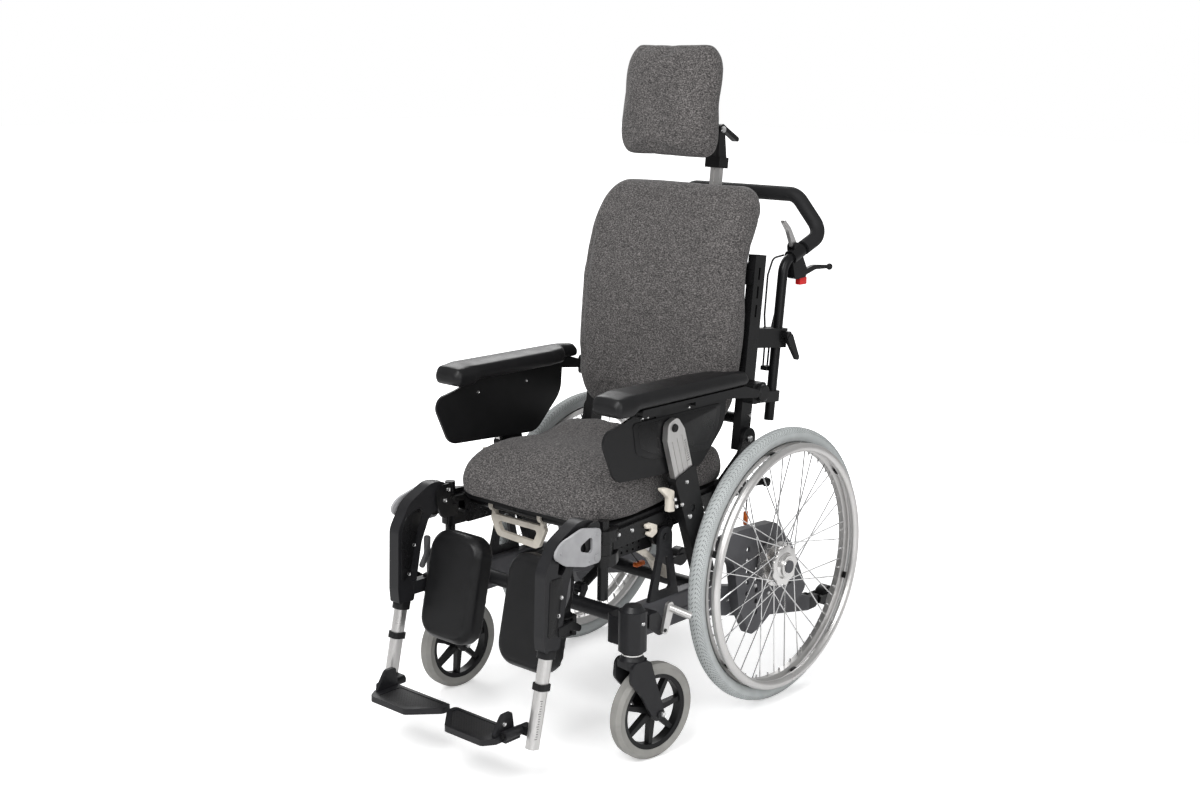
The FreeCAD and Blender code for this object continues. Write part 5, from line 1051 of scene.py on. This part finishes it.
class CHAIR_OT_frame_fittings(Maker, bpy.types.Operator):
    """Finishes, screws and small parts of base, seat and back"""
    bl_idname = "chair.frame_fittings"
    bl_label = "Frame fittings"

    def make(self):
        two_tone("base_frame", "base_frame_two_tone", "grey_black_casting", "frame_lacquer",
                 self.is_side_tube)
        two_tone("headrest_post", "headrest_mast", "brushed_alloy", "black_plastic",
                 self.is_mast_block)
        for letter in SIDES:
            heads("base_screws", "base_frame", letter,
                  [(-335, 430, 8), (-352, 330, 4.6), (-318, 330, 4.6), (-300, 262, 3.6),
                   (-120, 240, 3.6), (-489, 300, 4.2)])
            heads("plate_screws", "axle_plates", letter,
                  [(-52, 262, 5), (52, 250, 5), (0, 232, 5), (70, 300, 5)])
            heads("seat_screws", "seat_frame", letter,
                  [(-472, 462, 4.4), (-430, 462, 4.4), (-200, 462, 4.4), (-50, 588, 7)])
            heads("back_screws", "back_frame", letter,
                  [(-38, 636, 4.6), (-18, 648, 4.6), (6, 760, 4.2), (14, 860, 4.2), (24, 950, 4.2)])
            self.caster(letter)
            self.small_parts(letter)
        self.pulls()
        discs = [button(on_back(way * 17.5, 92, 661), (way, 0, 0), 8, 2.5) for way in (1, -1)]
        add_piece("headrest_pivot_discs", gathered(discs), "bolt_steel", "headrest_mast")

    def is_side_tube(self, face):
        x, y, z = (face.center - at(0, 0, 0)) * 1000
        return 205 < abs(x) < 237 and z < 300.5 and -453 < y < 206

    def is_mast_block(self, face):
        up = Vector((0, math.sin(BACK_LEAN), math.cos(BACK_LEAN)))
        return (face.center - BACK_PIVOT).dot(up) > 0.5755

    def caster(self, letter):
        profile = [(19.6, 231.8), (21.8, 232.2), (22.2, 233.6), (21.8, 235.0), (19.6, 235.3)]
        ring = spun([at(278 + r, -489, z) for r, z in profile], at(278, -489, 0), (0, 0, 1), 48)
        fit("caster_collar", letter, ring, "polished_alloy", "caster")
        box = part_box("caster_tyre_" + letter)
        hub = (box[0] + box[1]) / 2
        ends = []
        for way in (1, -1):
            out = Vector((way, 0, 0))
            place, normal = surface("caster_fork_" + letter, hub + out * 0.2, -out)
            if place is not None:
                ends.append(button(place, normal, 6, 3))
        add_piece("caster_axle_ends_" + letter, gathered(ends), "bolt_steel", "caster_" + letter)

    def small_parts(self, letter):
        box = block((188, 206), (-300, -236), (250, 292), 3)
        fit("side_box", letter, box, "black_plastic", "root")
        lever = [(-66, 486, 5), (-60, 470, 5), (64, 456, 7), (76, 463, 7), (66, 471, 7)]
        knob = gathered([button(at(196, 66, 463), OUTWARD, 11, 8), plate(lever, 190, 196, edge=1)])
        fit("rear_knob", letter, knob, "black_plastic", "seat")
        tab = cuboid((0.015, 0.026, 0.017), at(204, 165, 909), 0.0025)
        fit("hand_brake_lock", letter, tab, "red_plastic", "push_bow")

    def pulls(self):
        hook = plate([
            (-395, 467, 3), (-379, 468, 3), (-360, 460, 3), (-359, 443, 6), (-375, 436, 4),
            (-390, 444, 3), (-388, 450, 2), (-377, 450, 3), (-377, 456, 3), (-392, 458, 2),
        ], 222.3, 231, edge=1.6)
        strap = plate([
            (-388, 409, 4), (-356, 402, 10), (-321, 372, 14), (-286, 349, 8), (-273, 329, 6),
            (-282, 319, 4), (-324, 345, 14), (-346, 377, 14), (-386, 403, 3),
        ], 190, 199, edge=1.8)
        add_piece("tilt_release_hook", hook, "off_white", "seat")
        add_piece("tilt_release_strap", strap, "off_white", "seat")
        tab = block((96, 108), (-275, -245), (321, 331), 3)
        rear_tab = block((181, 189), (4, 16), (372, 404), 3)
        add_piece("release_pulls", gathered([tab, rear_tab]), "orange_plastic", "seat")
        front = [at(102, -262, 330), at(104, -292, 360), at(108, -318, 404), at(110, -330, 440)]
        rear = [at(185, 10, 402), at(186, 14, 450), at(188, -4, 500), at(192, -40, 540)]
        add_piece("release_cords", gathered([wire(front, 1.6), wire(rear, 1.6, 30)]),
                  "cable_skin", "seat")


class CHAIR_OT_finishes(Maker, bpy.types.Operator):
    """Finishes of the pieces that keep their built shape"""
    bl_idname = "chair.finishes"
    bl_label = "Frame finishes"

    def make(self):
        for name, obj in NODES.items():
            obj.data.materials.clear()
            obj.data.materials.append(finish(NODE_FINISH[node_kind(name)]))


class CHAIR_OT_stage(Maker, bpy.types.Operator):
    """Pale floor, soft lamps and the camera"""
    bl_idname = "chair.stage"
    bl_label = "Stage"

    def make(self):
        self.floor()
        self.world()
        self.lamp("key", (0.6, -2.6, 3.2), 110, 2.2)
        self.lamp("fill", (3.2, -1.2, 2.0), 45, 2.4)
        self.lamp("rim", (-2.4, 2.2, 2.8), 60, 2.2)
        self.camera()

    def floor(self):
        """White ground that fades to the background with distance."""
        tree, shader, place = start_finish("floor_white")
        cloud = grain(tree, place, 1.2, 2.0)
        seen = added(tree, "LightPath").outputs["Is Camera Ray"]
        distance = added(tree, "VectorMath", Vector=place)
        distance.operation = "LENGTH"
        far = added(tree, "MapRange", From_Min=0.7, From_Max=2.2, To_Min=0.40, To_Max=1.1,
                    Value=distance.outputs["Value"])
        far.interpolation_type = "SMOOTHSTEP"
        feed(tree, shader, Roughness=0.55, Specular_IOR_Level=0.25, Emission_Color=(1, 1, 1, 1),
             Base_Color=ramp(tree, cloud, [(0.3, (0.93, 0.93, 0.935)), (0.7, (0.96, 0.96, 0.96))]),
             Emission_Strength=calc(tree, "MULTIPLY", seen, far.outputs["Result"]))
        mesh = bpy.data.meshes.new("floor")
        with editing(mesh) as bm:
            bmesh.ops.create_grid(bm, x_segments=1, y_segments=1, size=30.0)
        mesh.materials.append(finish("floor_white"))
        obj = linked("floor", mesh)
        obj.location.z = -0.0005

    def world(self):
        world = bpy.data.worlds.new("studio")
        bpy.context.scene.world = world
        world.use_nodes = True
        tree = world.node_tree
        seen = added(tree, "LightPath").outputs["Is Camera Ray"]
        level = added(tree, "MapRange", To_Min=0.42, To_Max=1.0, Value=seen)
        feed(tree, tree.nodes["Background"], Color=(1, 1, 1, 1), Strength=level.outputs["Result"])

    def lamp(self, name, place, power, size):
        data = bpy.data.lights.new(name, "AREA")
        data.energy = power
        data.shape = "SQUARE"
        data.size = size
        obj = linked(name, data)
        obj.location = place
        aim = Vector((0, 0, 0.6)) - Vector(place)
        obj.rotation_euler = aim.to_track_quat("-Z", "Y").to_euler()

    def camera(self):
        view = bpy.context.scene.chair_view
        a, e, r = view.azimuth, view.elevation, view.roll
        back = Vector((math.sin(a) * math.cos(e), -math.cos(a) * math.cos(e), math.sin(e)))
        right = Vector((math.cos(a), math.sin(a), 0))
        up = right.cross(-back)
        rolled = right * math.cos(r) + up * math.sin(r)
        upright = up * math.cos(r) - right * math.sin(r)
        data = bpy.data.cameras.new("camera")
        data.lens = view.lens
        data.sensor_width = 36
        data.clip_end = 100
        obj = linked("camera", data)
        turn = Matrix((rolled, upright, back)).transposed().to_4x4()
        eye = Vector(view.eye) + Vector((0, AXLE.y, 0))
        obj.matrix_world = Matrix.Translation(eye) @ turn
        bpy.context.scene.camera = obj
        bpy.context.scene.view_settings.view_transform = "Standard"


OPERATORS = (
    CHAIR_OT_stage, CHAIR_OT_finishes, CHAIR_OT_seat_cushion, CHAIR_OT_back_cushion,
    CHAIR_OT_headrest_cushion, CHAIR_OT_arm_pads, CHAIR_OT_calf_pads, CHAIR_OT_bow_grip,
    CHAIR_OT_rear_wheels, CHAIR_OT_armrest_fittings, CHAIR_OT_legrest_fittings,
    CHAIR_OT_frame_fittings,
)


class CHAIR_PT_panel(bpy.types.Panel):
    """Lists the chair's pieces"""
    bl_label = "Wheelchair"
    bl_space_type = "VIEW_3D"
    bl_region_type = "UI"
    bl_category = "Wheelchair"

    def draw(self, context):
        for operator in OPERATORS:
            self.layout.operator(operator.bl_idname)


CLASSES = (ChairColours, ChairSizes, ChairView, *OPERATORS, CHAIR_PT_panel)


def register():
    for cls in CLASSES:
        bpy.utils.register_class(cls)
    bpy.types.Scene.chair_colours = PointerProperty(type=ChairColours)
    bpy.types.Scene.chair_sizes = PointerProperty(type=ChairSizes)
    bpy.types.Scene.chair_view = PointerProperty(type=ChairView)


def unregister():
    del bpy.types.Scene.chair_view
    del bpy.types.Scene.chair_sizes
    del bpy.types.Scene.chair_colours
    for cls in reversed(CLASSES):
        bpy.utils.unregister_class(cls)


def main():
    register()
    make_finishes()
    for operator in OPERATORS:
        group, name = operator.bl_idname.split(".")
        getattr(getattr(bpy.ops, group), name)()


if __name__ == "__main__":
    main()
